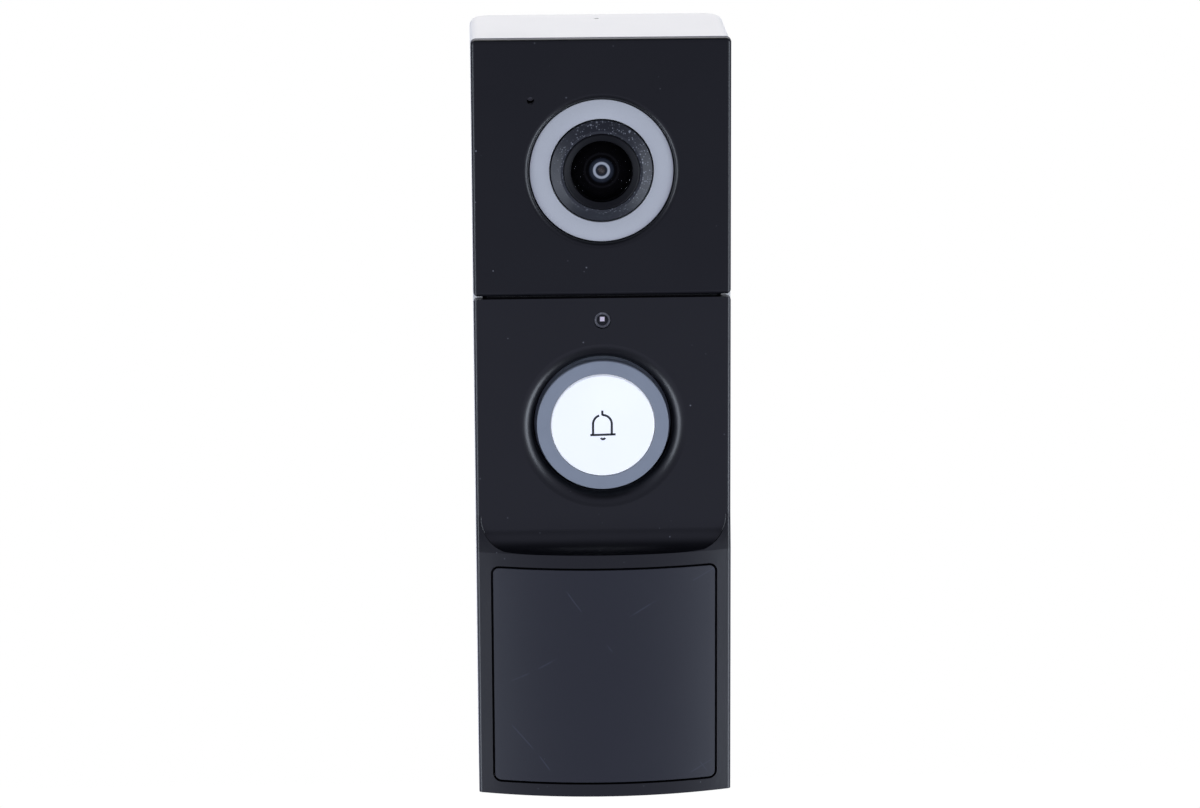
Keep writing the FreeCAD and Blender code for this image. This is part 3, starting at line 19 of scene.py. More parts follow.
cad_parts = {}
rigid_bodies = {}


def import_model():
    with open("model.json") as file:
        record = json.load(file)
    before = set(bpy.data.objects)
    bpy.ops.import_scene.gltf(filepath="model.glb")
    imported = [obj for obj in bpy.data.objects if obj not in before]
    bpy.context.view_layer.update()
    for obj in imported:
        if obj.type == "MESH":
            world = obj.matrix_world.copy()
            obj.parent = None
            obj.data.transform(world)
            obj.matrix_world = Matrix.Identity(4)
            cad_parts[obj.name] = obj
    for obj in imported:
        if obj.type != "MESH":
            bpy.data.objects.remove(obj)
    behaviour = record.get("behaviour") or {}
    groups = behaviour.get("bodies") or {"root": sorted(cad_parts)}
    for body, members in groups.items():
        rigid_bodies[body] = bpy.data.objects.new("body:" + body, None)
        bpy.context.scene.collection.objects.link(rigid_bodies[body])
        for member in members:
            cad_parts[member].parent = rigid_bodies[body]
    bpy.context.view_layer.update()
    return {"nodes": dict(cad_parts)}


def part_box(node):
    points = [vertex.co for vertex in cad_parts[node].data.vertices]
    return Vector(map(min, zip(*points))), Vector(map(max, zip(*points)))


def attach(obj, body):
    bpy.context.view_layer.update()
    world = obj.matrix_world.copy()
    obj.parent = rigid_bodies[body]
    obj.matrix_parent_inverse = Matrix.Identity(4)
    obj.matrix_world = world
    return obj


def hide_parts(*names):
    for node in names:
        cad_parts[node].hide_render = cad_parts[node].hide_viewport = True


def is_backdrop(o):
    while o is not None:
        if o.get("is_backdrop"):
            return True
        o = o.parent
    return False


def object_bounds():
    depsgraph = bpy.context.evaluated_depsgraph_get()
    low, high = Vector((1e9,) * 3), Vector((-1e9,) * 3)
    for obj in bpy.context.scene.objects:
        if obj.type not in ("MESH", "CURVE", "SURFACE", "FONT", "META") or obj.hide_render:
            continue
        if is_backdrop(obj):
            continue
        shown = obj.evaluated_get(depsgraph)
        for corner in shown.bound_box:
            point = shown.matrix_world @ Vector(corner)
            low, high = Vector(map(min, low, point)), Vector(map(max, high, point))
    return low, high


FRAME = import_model()

LOG = logging.getLogger("doorbell")
MM = 0.001
Colour = tuple[float, float, float]
Profile = Sequence[tuple[float, float]]
UNLIT: Colour = (0.0, 0.0, 0.0)


# ------------------------------------------------------------------ shader expressions

def operator(operation: str, swap: bool = False) -> Callable[[Term, Any], Term]:
    """Makes a method that joins two operands with a Math node.

    Args:
        operation: the node's operation.
        swap: whether the other operand comes first.

    Returns:
        The method.
    """
    def method(self: Term, other: Any) -> Term:
        """Adds the Math node."""
        operands = (other, self) if swap else (self, other)
        return self.graph.add("ShaderNodeMath", {"operation": operation},
                              dict(enumerate(operands)))
    return method


class Term:
    """A shader socket that takes part in Python expressions."""

    __add__ = __radd__ = operator("ADD")
    __sub__ = operator("SUBTRACT")
    __rsub__ = operator("SUBTRACT", swap=True)
    __mul__ = __rmul__ = operator("MULTIPLY")
    __truediv__ = operator("DIVIDE")
    __gt__ = operator("GREATER_THAN")
    power = operator("POWER")
    larger = operator("MAXIMUM")

    def __init__(self, graph: Graph, socket: bpy.types.NodeSocket) -> None:
        """Wraps one output socket of a graph."""
        self.graph = graph
        self.socket = socket

    def fraction(self) -> Term:
        """The part after the decimal point."""
        return self.graph.add("ShaderNodeMath", {"operation": "FRACT"}, {0: self})

    def span(self, low: float, high: float) -> Term:
        """Maps low..high smoothly to 0..1, held at both ends.

        Args:
            low: value that gives 0.
            high: value that gives 1.

        Returns:
            The mapped term.
        """
        return self.graph.add("ShaderNodeMapRange", {"interpolation_type": "SMOOTHSTEP"},
                              {"Value": self, "From Min": low, "From Max": high})


@dataclass(frozen=True)
class Noise:
    """One noise pattern: blob size in metres, octaves, their weight, stretch and distortion."""

    size: float
    detail: float = 2.0
    rough: float = 0.5
    stretch: tuple[float, float, float] = (1.0, 1.0, 1.0)
    warp: float = 0.0


class Graph:
    """One material's node tree."""

    def __init__(self, name: str) -> None:
        """Makes an empty material of this name."""
        self.material = bpy.data.materials.new(name)
        self.material.use_nodes = True
        self.tree = self.material.node_tree
        self.tree.nodes.clear()

    @classmethod
    def of_tree(cls, tree: bpy.types.NodeTree) -> Graph:
        """Wraps an existing tree, such as a world's, after clearing it."""
        graph = cls.__new__(cls)
        graph.tree = tree
        tree.nodes.clear()
        return graph

    def add(self, kind: str, settings: dict[str, Any] | None = None,
            values: dict[str | int, Any] | None = None, output: str | int = 0) -> Term:
        """Adds any node and returns one of its outputs.

        Args:
            kind: the node's type.
            settings: node settings, set first; "stops" fills a colour ramp.
            values: numbers, colours or terms for the inputs, by name or index.
            output: which output to return.

        Returns:
            The output as a term.
        """
        node = self.tree.nodes.new(kind)
        for key, value in (settings or {}).items():
            if key == "stops":
                ramp = node.color_ramp
                while len(ramp.elements) < len(value):
                    ramp.elements.new(0.5)
                for element, (place, tint) in zip(ramp.elements, value):
                    element.position = place
                    element.color = (*tint, 1.0)
            else:
                setattr(node, key, value)
        for key, value in (values or {}).items():
            socket = node.inputs[key]
            if isinstance(value, Term):
                self.tree.links.new(value.socket, socket)
            elif isinstance(value, tuple) and len(value) == 3 and socket.type == "RGBA":
                socket.default_value = (*value, 1.0)
            else:
                socket.default_value = value
        return Term(self, node.outputs[output])

    def place(self, centre: Sequence[float] = (0, 0, 0), scale: Sequence[float] = (1, 1, 1),
              turn: Sequence[float] = (0, 0, 0)) -> Term:
        """Object coordinates measured from a centre, turned and scaled.

        Args:
            centre: point that becomes the pattern's origin.
            scale: factor along each axis.
            turn: Euler angles of the pattern, in radians.

        Returns:
            The coordinates as a vector term.
        """
        where = self.add("ShaderNodeTexCoord", output="Object")
        moved = self.add("ShaderNodeVectorMath", {"operation": "SUBTRACT"},
                         {0: where, 1: tuple(centre)})
        if tuple(turn) != (0, 0, 0):
            moved = self.add("ShaderNodeVectorRotate", {"rotation_type": "EULER_XYZ"},
                             {"Vector": moved, "Rotation": tuple(turn)})
        return self.add("ShaderNodeVectorMath", {"operation": "MULTIPLY"},
                        {0: moved, 1: tuple(scale)})

    def radius(self, centre: Sequence[float]) -> Term:
        """Distance from an axis that runs front to back through a centre, in metres."""
        flat = self.place(centre, (1, 0, 1))
        return self.add("ShaderNodeVectorMath", {"operation": "LENGTH"}, {0: flat}, "Value")

    def height(self, centre: Sequence[float] = (0, 0, 0)) -> Term:
        """Height above a centre, in metres."""
        return self.axis(self.place(centre), "Z")

    def axis(self, where: Term, name: str) -> Term:
        """One coordinate of a vector, by name."""
        return self.add("ShaderNodeSeparateXYZ", None, {0: where}, name)

    def noise(self, kind: Noise) -> Term:
        """A noise pattern on object coordinates, 0 to 1."""
        return self.add("ShaderNodeTexNoise", None,
                        {"Vector": self.place((0, 0, 0), kind.stretch),
                         "Scale": 1.0 / kind.size, "Detail": kind.detail,
                         "Roughness": kind.rough, "Distortion": kind.warp}, "Fac")

    def specks(self, spacing: float, radius: float, share: float) -> Term:
        """Sparse round specks with soft edges.

        Args:
            spacing: distance between the places a speck may have.
            radius: a speck's radius, in metres.
            share: share of the places that hold a speck.

        Returns:
            A mask, 1 on a speck.
        """
        cells = {"Vector": self.place(), "Scale": 1.0 / spacing, "Randomness": 1.0}
        far = self.add("ShaderNodeTexVoronoi", None, cells, "Distance")
        tint = self.add("ShaderNodeTexVoronoi", None, cells, "Color")
        red = self.add("ShaderNodeSeparateColor", None, {0: tint}, 0)
        green = self.add("ShaderNodeSeparateColor", None, {0: tint}, 1)
        edge = radius / spacing
        dot = 1.0 - (far / (green + 0.35)).span(edge * 0.5, edge)
        return dot * (red > (1.0 - share))

    def mix(self, factor: Any, first: Any, second: Any) -> Term:
        """A colour between first and second."""
        return self.add("ShaderNodeMix", {"data_type": "RGBA"},
                        {0: factor, 6: first, 7: second}, 2)

    def mottle(self, factor: Term, colour: Colour, darkest: float, lightest: float) -> Term:
        """A colour that wanders between a darker and a lighter tint."""
        return self.mix(factor, shade(colour, darkest), shade(colour, lightest))

    def bump(self, high: Term, depth: float) -> Term:
        """A normal bent by a pattern of the given depth in metres."""
        return self.add("ShaderNodeBump", None,
                        {"Height": high, "Distance": depth, "Strength": 1.0})

    def surface(self, **values: Any) -> bpy.types.Material:
        """Ends the material with a Principled shader.

        Args:
            values: its inputs, with underscores for spaces.

        Returns:
            The finished material.
        """
        named = {key.replace("_", " "): value for key, value in values.items()}
        return self.finish(self.add("ShaderNodeBsdfPrincipled", None, named))

    def finish(self, shader: Term) -> bpy.types.Material:
        """Links a shader to the output and returns the material."""
        output = self.tree.nodes.new("ShaderNodeOutputMaterial")
        self.tree.links.new(shader.socket, output.inputs["Surface"])
        return self.material


def turn_stop(angle: float) -> float:
    """Place on a bottom-to-top ramp of an elevation given in degrees."""
    return 0.5 + 0.5 * math.sin(math.radians(angle))


def shade(colour: Colour, factor: float) -> Colour:
    """A colour made lighter or darker by a factor."""
    return tuple(min(part * factor, 1.0) for part in colour)


# ------------------------------------------------------------------ finishes

@dataclass(frozen=True)
class Speck:
    """Specks of one size: the spacing of their places and their radius."""

    spacing: float
    radius: float


@dataclass(frozen=True)
class Hairline:
    """Parallel hairline scratches: their turn in radians, pitch and shift sideways."""

    turn: float
    pitch: float
    shift: float = 0.0


@dataclass(frozen=True)
class MouldedPlastic:
    """Moulded plastic: spark texture, faint clouds, dust and fine scratches."""

    name: str
    colour: Colour
    rough: float = 0.45
    grain: float = 0.00018
    depth: float = 0.000006
    dust: float = 0.0
    scratches: float = 0.0
    specular: float = 0.5
    # glow makes the surface emit its own tone; the button cap uses it as painted light.
    glow: float = 0.0
    clouds: Noise = Noise(0.02, 3.0, 0.55)
    dust_patches: Noise = Noise(0.016)
    dust_colour: Colour = (0.20, 0.207, 0.225)
    dust_sizes: tuple[Speck, Speck] = (Speck(0.0030, 0.00020), Speck(0.0019, 0.00014))
    hairlines: tuple[Hairline, Hairline] = (Hairline(0.62, 0.0125), Hairline(-1.05, 0.017, 0.004))
    hairline_edge: tuple[float, float] = (0.00004, 0.00016)
    hairline_sway: float = 0.004

    def build(self) -> bpy.types.Material:
        """Builds the node material."""
        graph = Graph(self.name)
        clouds = graph.noise(self.clouds)
        grain = graph.noise(Noise(self.grain, 2.0, 0.6))
        tone = graph.mottle(clouds, self.colour, 0.93, 1.07)
        tone = graph.mix(grain * 0.35, tone, shade(self.colour, 1.22))
        rough = self.rough + (clouds - 0.5) * 0.10 + (grain - 0.5) * 0.12
        high = grain
        if self.dust > 0:
            pale = self.dust_specks(graph)
            tone = graph.mix(pale * 0.6, tone, self.dust_colour)
            rough = rough + pale * 0.3
        if self.scratches > 0:
            lines = self.scratch_lines(graph)
            tone = graph.mix(lines * 0.5, tone, shade(self.colour, 3.2))
            rough = rough + lines * 0.15
            high = high - lines * 0.8
        return graph.surface(Base_Color=tone, Roughness=rough,
                             Specular_IOR_Level=self.specular, Emission_Color=tone,
                             Emission_Strength=self.glow,
                             Normal=graph.bump(high, self.depth))

    def dust_specks(self, graph: Graph) -> Term:
        """Settled dust, thicker in patches."""
        coarse, fine = (graph.specks(size.spacing, size.radius, self.dust)
                        for size in self.dust_sizes)
        settled = graph.noise(self.dust_patches).span(0.42, 0.62)
        return coarse.larger(fine) * (settled * 0.8 + 0.2)

    def scratch_lines(self, graph: Graph) -> Term:
        """Thin hairlines in two directions, each broken into short runs."""
        runs: list[Term] = []
        for line in self.hairlines:
            where = graph.place((line.shift, 0, 0), (1, 1, 1), (0, line.turn, 0))
            sway = (graph.noise(Noise(0.030, 1.0)) - 0.5) * self.hairline_sway
            fold = graph.add("ShaderNodeMath", {"operation": "PINGPONG"},
                             {0: graph.axis(where, "X") + sway, 1: line.pitch})
            thin = 1.0 - fold.span(*self.hairline_edge)
            gate = graph.noise(Noise(0.0065, 2.0, 0.6)).span(0.54, 0.64)
            runs.append(thin * gate * self.scratches)
        return runs[0].larger(runs[1])


@dataclass(frozen=True)
class MottledStuff:
    """Plain stuff with a fine grain and slow clouds of tone: rubber, metal, film or ink."""

    name: str
    colour: Colour
    rough: float
    clouds: Noise
    grain: Noise
    depth: float
    tones: tuple[float, float] = (0.9, 1.15)
    grain_rough: float = 0.0
    cloud_rough: float = 0.0
    metallic: float = 0.0
    specular: float = 0.5

    def build(self) -> bpy.types.Material:
        """Builds the node material."""
        graph = Graph(self.name)
        clouds, grain = graph.noise(self.clouds), graph.noise(self.grain)
        rough = (self.rough + (grain - 0.5) * self.grain_rough
                 + (clouds - 0.5) * self.cloud_rough)
        return graph.surface(Base_Color=graph.mottle(clouds, self.colour, *self.tones),
                             Roughness=rough, Metallic=self.metallic,
                             Specular_IOR_Level=self.specular,
                             Normal=graph.bump(grain, self.depth))


def rubber(name: str, colour: Colour, rough: float = 0.72) -> MottledStuff:
    """Moulded rubber with a matte skin and a faint bloom."""
    return MottledStuff(name, colour, rough, Noise(0.003), Noise(0.00025, 3.0, 0.65), 0.00002,
                        grain_rough=0.15, specular=0.35)


def plated_metal(name: str, colour: Colour, rough: float = 0.32) -> MottledStuff:
    """Plated or drawn metal with fine lines that run up and down."""
    return MottledStuff(name, colour, rough, Noise(0.004, 3.0, 0.6),
                        Noise(0.00012, 2.0, 0.6, (1.0, 1.0, 0.06)), 0.000004, (0.85, 1.08),
                        grain_rough=0.2, cloud_rough=0.12, metallic=0.95)


def shrink_film(name: str, colour: Colour) -> MottledStuff:
    """Glossy shrink film with faint wrinkles round what it holds."""
    wrinkle = Noise(0.0012, 2.0, 0.5, (0.4, 0.4, 1.0), 0.6)
    return MottledStuff(name, colour, 0.30, wrinkle, wrinkle, 0.00003, cloud_rough=0.1)


def printed_ink(name: str, colour: Colour) -> MottledStuff:
    """A printed line with a slightly uneven tone."""
    mottle = Noise(0.0002, 2.0, 0.6)
    return MottledStuff(name, colour, 0.5, mottle, mottle, 0.0, (1.0, 1.8), cloud_rough=0.1)


@dataclass(frozen=True)
class BeadedMetal:
    """Bead-blasted metal with a fine even sparkle."""

    name: str
    colour: Colour
    rough: float = 0.42
    metallic: float = 0.55
    beads: Noise = Noise(0.00009, 2.0, 0.7)
    clouds: Noise = Noise(0.006)

    def build(self) -> bpy.types.Material:
        """Builds the node material."""
        graph = Graph(self.name)
        bead = graph.noise(self.beads)
        tone = graph.mottle(bead, self.colour, 0.88, 1.13)
        tone = graph.mix((graph.noise(self.clouds) - 0.35) * 0.35, tone,
                         shade(self.colour, 0.9))
        return graph.surface(Base_Color=tone, Roughness=self.rough + (bead - 0.5) * 0.16,
                             Metallic=self.metallic, Normal=graph.bump(bead, 0.000004))


@dataclass(frozen=True)
class SpeckledWindow:
    """Dark infrared-clear plastic, dusty towards the lens."""

    name: str
    colour: Colour
    centre: tuple[float, float, float]
    inner: float
    outer: float
    dust_colour: Colour = (0.30, 0.315, 0.34)

    def build(self) -> bpy.types.Material:
        """Builds the node material."""
        graph = Graph(self.name)
        near = 1.0 - graph.radius(self.centre).span(self.inner, self.outer)
        right = graph.axis(graph.place(self.centre), "X").span(-self.outer * 0.5, self.outer)
        high = graph.height(self.centre).span(-self.outer * 0.6, self.outer)
        crowd = near * 0.35 + high * 0.45 + right * 0.35
        fine = graph.specks(0.00036, 0.00013, 0.55)
        coarse = graph.specks(0.0009, 0.00024, 0.30)
        dust = fine.larger(coarse) * crowd.span(0.10, 0.75)
        cloud = graph.noise(Noise(0.0022, 3.0, 0.6))
        tone = graph.mottle(cloud, self.colour, 0.8, 1.25)
        tone = graph.mix(dust * 0.85, tone, self.dust_colour)
        rough = 0.33 + cloud * 0.16 + dust * 0.25
        grain = graph.noise(Noise(0.00012, 1.0))
        return graph.surface(Base_Color=tone, Roughness=rough, Specular_IOR_Level=0.36,
                             Normal=graph.bump(grain, 0.000004))


@dataclass(frozen=True)
class CoatedGlass:
    """Dark coated glass: clear enough to show the painted reflection rings behind it; its tint
    lightens at grazing angles, a painted sheen.
    """

    name: str
    tint: Colour
    alpha: float
    rough: float = 0.02
    specular: float = 0.5

    def build(self) -> bpy.types.Material:
        """Builds the node material."""
        graph = Graph(self.name)
        smear = graph.noise(Noise(0.0016, 3.0, 0.6))
        edge = graph.add("ShaderNodeLayerWeight", None, {"Blend": 0.25}, "Facing")
        # The tint grows lighter where the surface turns away from view: painted sheen.
        tone = graph.mottle(edge, self.tint, 1.0, 2.2)
        cover = self.alpha + edge * (1.0 - self.alpha) * 0.8
        return graph.surface(Base_Color=tone, Roughness=self.rough + smear * 0.03,
                             Alpha=cover, IOR=1.5, Specular_IOR_Level=self.specular)


@dataclass(frozen=True)
class BafflePaintedReflections:
    """Black baffle with a dim pupil and painted reflections of the lens coating: a faint outer
    ring, a bluish haze and a pale ring that glows.
    """

    name: str
    centre: tuple[float, float, float]
    coating_reflection: Colour = (0.40, 0.43, 0.49)
    reflection_glow: Colour = (0.20, 0.22, 0.26)

    def build(self) -> bpy.types.Material:
        """Builds the node material."""
        graph = Graph(self.name)
        radius = graph.radius(self.centre) / MM
        streak = graph.noise(Noise(0.0006, 3.0, 0.7))
        # pale and outer are painted reflections: the rings that the lens coating shows.
        pale = self.ring(radius, 1.40, 0.34) * (0.75 + streak * 0.5)
        outer = self.ring(radius, 3.25, 0.30)
        pupil = 1.0 - radius.span(0.35, 1.0)
        tone = graph.mix(outer * 0.8, (0.0008, 0.0008, 0.0010), (0.011, 0.0105, 0.012))
        # Painted reflection: a wide bluish haze round the middle.
        tone = graph.mix(self.ring(radius, 1.5, 1.1) * 0.16, tone, (0.20, 0.24, 0.34))
        tone = graph.mix(pale, tone, self.coating_reflection)
        tone = graph.mix(pupil, tone, (0.060, 0.050, 0.048))
        tone = graph.mix(pupil * streak.span(0.45, 0.7) * 0.6, tone, (0.22, 0.20, 0.20))
        # The pale reflection ring glows: painted light, it is no lamp.
        return graph.surface(Base_Color=tone, Roughness=0.4 + streak * 0.1,
                             Specular_IOR_Level=0.05, Emission_Strength=0.6,
                             Emission_Color=graph.mix(pale, UNLIT, self.reflection_glow))

    def ring(self, radius: Term, middle: float, half: float) -> Term:
        """A soft ring of the given middle radius and half width, in millimetres."""
        return 1.0 - (radius - middle).power(2.0).span(0.0, half * half)


@dataclass(frozen=True)
class SensorHeart:
    """Dark seat with a pale square chip, a painted highlight round its rim and a painted glow on
    the chip.
    """

    name: str
    centre: tuple[float, float, float]
    chip_shift: tuple[float, float] = (-0.02 * MM, 0.18 * MM)
    chip_colour: Colour = (0.62, 0.58, 0.68)
    chip_painted_glow: Colour = (0.42, 0.38, 0.48)

    def build(self) -> bpy.types.Material:
        """Builds the node material."""
        graph = Graph(self.name)
        side, lift = self.chip_shift
        where = graph.place((self.centre[0] + side, self.centre[1], self.centre[2] + lift))
        across, up = (graph.axis(where, name).power(2.0) for name in ("X", "Z"))
        chip = 1.0 - across.larger(up).span(1.5e-7, 2.5e-7)
        radius = graph.radius(self.centre) / MM
        # rim is a painted highlight: the bright edge of the clear window, painted on the seat.
        rim = radius.span(1.0, 1.3) * (0.5 + graph.noise(Noise(0.0007)) * 0.9)
        tone = graph.mix(graph.noise(Noise(0.0005)), (0.010, 0.010, 0.012),
                         (0.03, 0.03, 0.034))
        tone = graph.mix(rim * 0.8, tone, (0.42, 0.42, 0.44))
        tone = graph.mix(chip, tone, self.chip_colour)
        # The chip glows: painted light, it is no lamp.
        return graph.surface(Base_Color=tone, Roughness=0.4, Specular_IOR_Level=0.2,
                             Emission_Color=graph.mix(chip, UNLIT, self.chip_painted_glow),
                             Emission_Strength=0.7)


@dataclass(frozen=True)
class LightGuide:
    """Milky grey-blue diffuser whose side wall is painted near-black: painted shade of the gap
    round it.
    """

    name: str
    colour: Colour
    centre: tuple[float, float, float]
    shade_radius: float
    painted_shade_colour: Colour = (0.002, 0.0022, 0.0028)

    def build(self) -> bpy.types.Material:
        """Builds the node material."""
        graph = Graph(self.name)
        milk = graph.noise(Noise(0.004, 3.0, 0.6))
        grain = graph.noise(Noise(0.00013, 1.0))
        tone = graph.mottle(milk, self.colour, 0.93, 1.08)
        tone = graph.mix(graph.specks(0.0021, 0.00007, 0.10) * 0.5, tone, (0.30, 0.30, 0.26))
        # The side wall is painted near-black and rougher: painted shade of the gap round the
        # ring.
        shaded_wall = graph.radius(self.centre) > self.shade_radius
        tone = graph.mix(shaded_wall, tone, self.painted_shade_colour)
        rough = 0.42 + (grain - 0.5) * 0.1 + shaded_wall * 0.5
        return graph.surface(Base_Color=tone, Roughness=rough,
                             Normal=graph.bump(grain, 0.000003))


@dataclass(frozen=True)
class CircuitBoard:
    """Solder mask over copper tracks, with tinned pads."""

    name: str
    colour: Colour = (0.012, 0.075, 0.035)
    pad_colour: Colour = (0.55, 0.53, 0.47)
    cells: float = 320.0
    bands: float = 9.0

    def build(self) -> bpy.types.Material:
        """Builds the node material."""
        graph = Graph(self.name)
        cells = graph.add("ShaderNodeTexVoronoi", {"distance": "MANHATTAN"},
                          {"Vector": graph.place((0, 0, 0), (1, 0, 1)), "Scale": self.cells},
                          "Distance")
        tracks = (cells * self.bands).fraction().span(0.42, 0.5)
        pads = graph.specks(0.0017, 0.0003, 0.35)
        tone = graph.mottle(tracks * 0.7, self.colour, 1.0, 2.0)
        tone = graph.mix(pads, tone, self.pad_colour)
        return graph.surface(Base_Color=tone, Roughness=0.38 - pads * 0.12,
                             Metallic=pads * 0.9,
                             Normal=graph.bump(tracks + pads, 0.00002))


@dataclass(frozen=True)
class PaleFloor:
    """A plain pale floor: white to a camera above it, left out of reflections."""

    name: str

    def build(self) -> bpy.types.Material:
        """Builds the node material."""
        graph = Graph(self.name)
        tone = graph.mix(graph.noise(Noise(0.4)), (0.985, 0.985, 0.985), (1.0, 1.0, 1.0))
        behind = graph.add("ShaderNodeNewGeometry", output="Backfacing")
        seen = graph.add("ShaderNodeLightPath", output="Is Camera Ray") * (1.0 - behind)
        bright = graph.add("ShaderNodeEmission", None, {"Color": tone, "Strength": 1.02})
        clear = graph.add("ShaderNodeBsdfTransparent")
        return graph.finish(graph.add("ShaderNodeMixShader", None,
                                      {0: seen, 1: clear, 2: bright}))


# ------------------------------------------------------------------ mesh tools

class Shading(Enum):
    """How a mesh's faces are shaded."""

    SMOOTH = "smooth"
    FLAT = "flat"


def link_new(name: str, data: bpy.types.ID) -> bpy.types.Object:
    """Puts new data in the scene as an object at the origin."""
    item = bpy.data.objects.new(name, data)
    bpy.context.scene.collection.objects.link(item)
    return item


def add_piece(name: str, vertices: Sequence[Sequence[float]], faces: Sequence[Sequence[int]],
              material: bpy.types.Material, shading: Shading = Shading.SMOOTH
              ) -> bpy.types.Object:
    """Makes a mesh object at the origin with outward faces.

    Args:
        name: the piece's name.
        vertices: points, in metres.
        faces: rings of vertex numbers.
        material: its finish.
        shading: smooth or flat faces.

    Returns:
        The new object.
    """
    mesh = bpy.data.meshes.new(name)
    mesh.from_pydata([tuple(v) for v in vertices], [], [tuple(f) for f in faces])
    tidy_mesh(mesh, shading)
    mesh.materials.append(material)
    return link_new(name, mesh)


def tidy_mesh(mesh: bpy.types.Mesh, shading: Shading = Shading.SMOOTH,
              sharp: float = math.radians(32)) -> None:
    """Merges doubles, turns the faces outwards and marks the sharp edges.

    Args:
        mesh: the mesh to tidy.
        shading: smooth or flat faces.
        sharp: edges that bend more than this angle stay crisp.
    """
    work = bmesh.new()
    work.from_mesh(mesh)
    bmesh.ops.remove_doubles(work, verts=work.verts, dist=1e-7)
    bmesh.ops.dissolve_degenerate(work, edges=work.edges, dist=1e-8)
    bmesh.ops.recalc_face_normals(work, faces=work.faces)
    for face in work.faces:
        face.smooth = shading is Shading.SMOOTH
    for edge in work.edges:
        edge.smooth = not (edge.is_manifold and edge.calc_face_angle(0.0) > sharp)
    work.to_mesh(mesh)
    work.free()


def lathe(name: str, profile: Profile, centre: Vector, material: bpy.types.Material,
          steps: int = 160) -> bpy.types.Object:
    """Turns a closed outline of (radius, distance in front of the centre) about a depth axis.

    Args:
        name: the piece's name.
        profile: the outline, in metres; a radius of 0 makes a pole.
        centre: a point on the axis.
        material: its finish.
        steps: segments round the axis.

    Returns:
        The turned piece.
    """
    vertices: list[tuple[float, float, float]] = []
    for radius, front in profile:
        for step in range(steps):
            turn = 2 * math.pi * step / steps
            vertices.append((centre.x + radius * math.cos(turn), centre.y - front,
                             centre.z + radius * math.sin(turn)))
    faces = []
    count = len(profile)
    for ring in range(count):
        other = (ring + 1) % count
        for step in range(steps):
            after = (step + 1) % steps
            faces.append((ring * steps + step, other * steps + step,
                          other * steps + after, ring * steps + after))
    return add_piece(name, vertices, faces, material)


def bend(points: list[tuple[float, float]], start: float, end: float, radius: float,
         centre: tuple[float, float], steps: int = 10) -> None:
    """Adds a circular arc to an outline.

    Args:
        points: the outline to extend.
        start: first angle, in degrees.
        end: last angle, in degrees.
        radius: the arc's radius.
        centre: the arc's centre.
        steps: segments of the arc.
    """
    for step in range(steps + 1):
        turn = math.radians(start + (end - start) * step / steps)
        points.append((centre[0] + radius * math.cos(turn), centre[1] + radius * math.sin(turn)))


def ribbon(path: Sequence[Vector], width: float, low: float, high: float
           ) -> tuple[list[Vector], list[tuple[int, ...]]]:
    """A flat band with square ends that follows a path in the front plane.

    Args:
        path: points whose x and z give the line.
        width: the band's width.
        low: y of its rear face.
        high: y of its front face.

    Returns:
        Its vertices and faces.
    """
    vertices: list[Vector] = []
    for number, point in enumerate(path):
        before = path[max(number - 1, 0)]
        after = path[min(number + 1, len(path) - 1)]
        run = (after - before).normalized()
        side = Vector((-run.z, 0, run.x)) * (width / 2)
        for offset in (side, -side):
            for level in (low, high):
                vertices.append(Vector((point.x + offset.x, level, point.z + offset.z)))
    faces: list[tuple[int, ...]] = []
    for number in range(len(path) - 1):
        a, b = number * 4, number * 4 + 4
        for first, second in ((0, 1), (1, 3), (3, 2), (2, 0)):
            faces.append((a + first, a + second, b + second, b + first))
    last = (len(path) - 1) * 4
    faces.append((0, 2, 3, 1))
    faces.append((last, last + 1, last + 3, last + 2))
    return vertices, faces


def dress(material: bpy.types.Material, *nodes: str) -> None:
    """Gives frame nodes one finish on all their slots.

    Args:
        material: the finish's material.
        nodes: the nodes' names.
    """
    for node in nodes:
        for slot in FRAME["nodes"][node].material_slots:
            slot.material = material


def place_piece(piece: bpy.types.Object, slot: str, *nodes: str, body: str = "doorbell") -> None:
    """Hides the frame nodes that a finished piece stands for, and rides the piece on a body.

    Args:
        piece: the piece.
        slot: not used.
        nodes: the frame nodes that it stands for.
        body: the body that it rides on.
    """
    if nodes:
        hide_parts(*nodes)
    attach(piece, body)


def box_of(node: str) -> tuple[Vector, Vector]:
    """A node's lowest and highest corners."""
    low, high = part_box(node)
    return Vector(low), Vector(high)


def front_of(node: str) -> tuple[Vector, float]:
    """The middle of a round node's front face, and the node's radius."""
    low, high = box_of(node)
    return Vector(((low.x + high.x) / 2, low.y, (low.z + high.z) / 2)), (high.x - low.x) / 2


# ------------------------------------------------------------------ repeated pieces

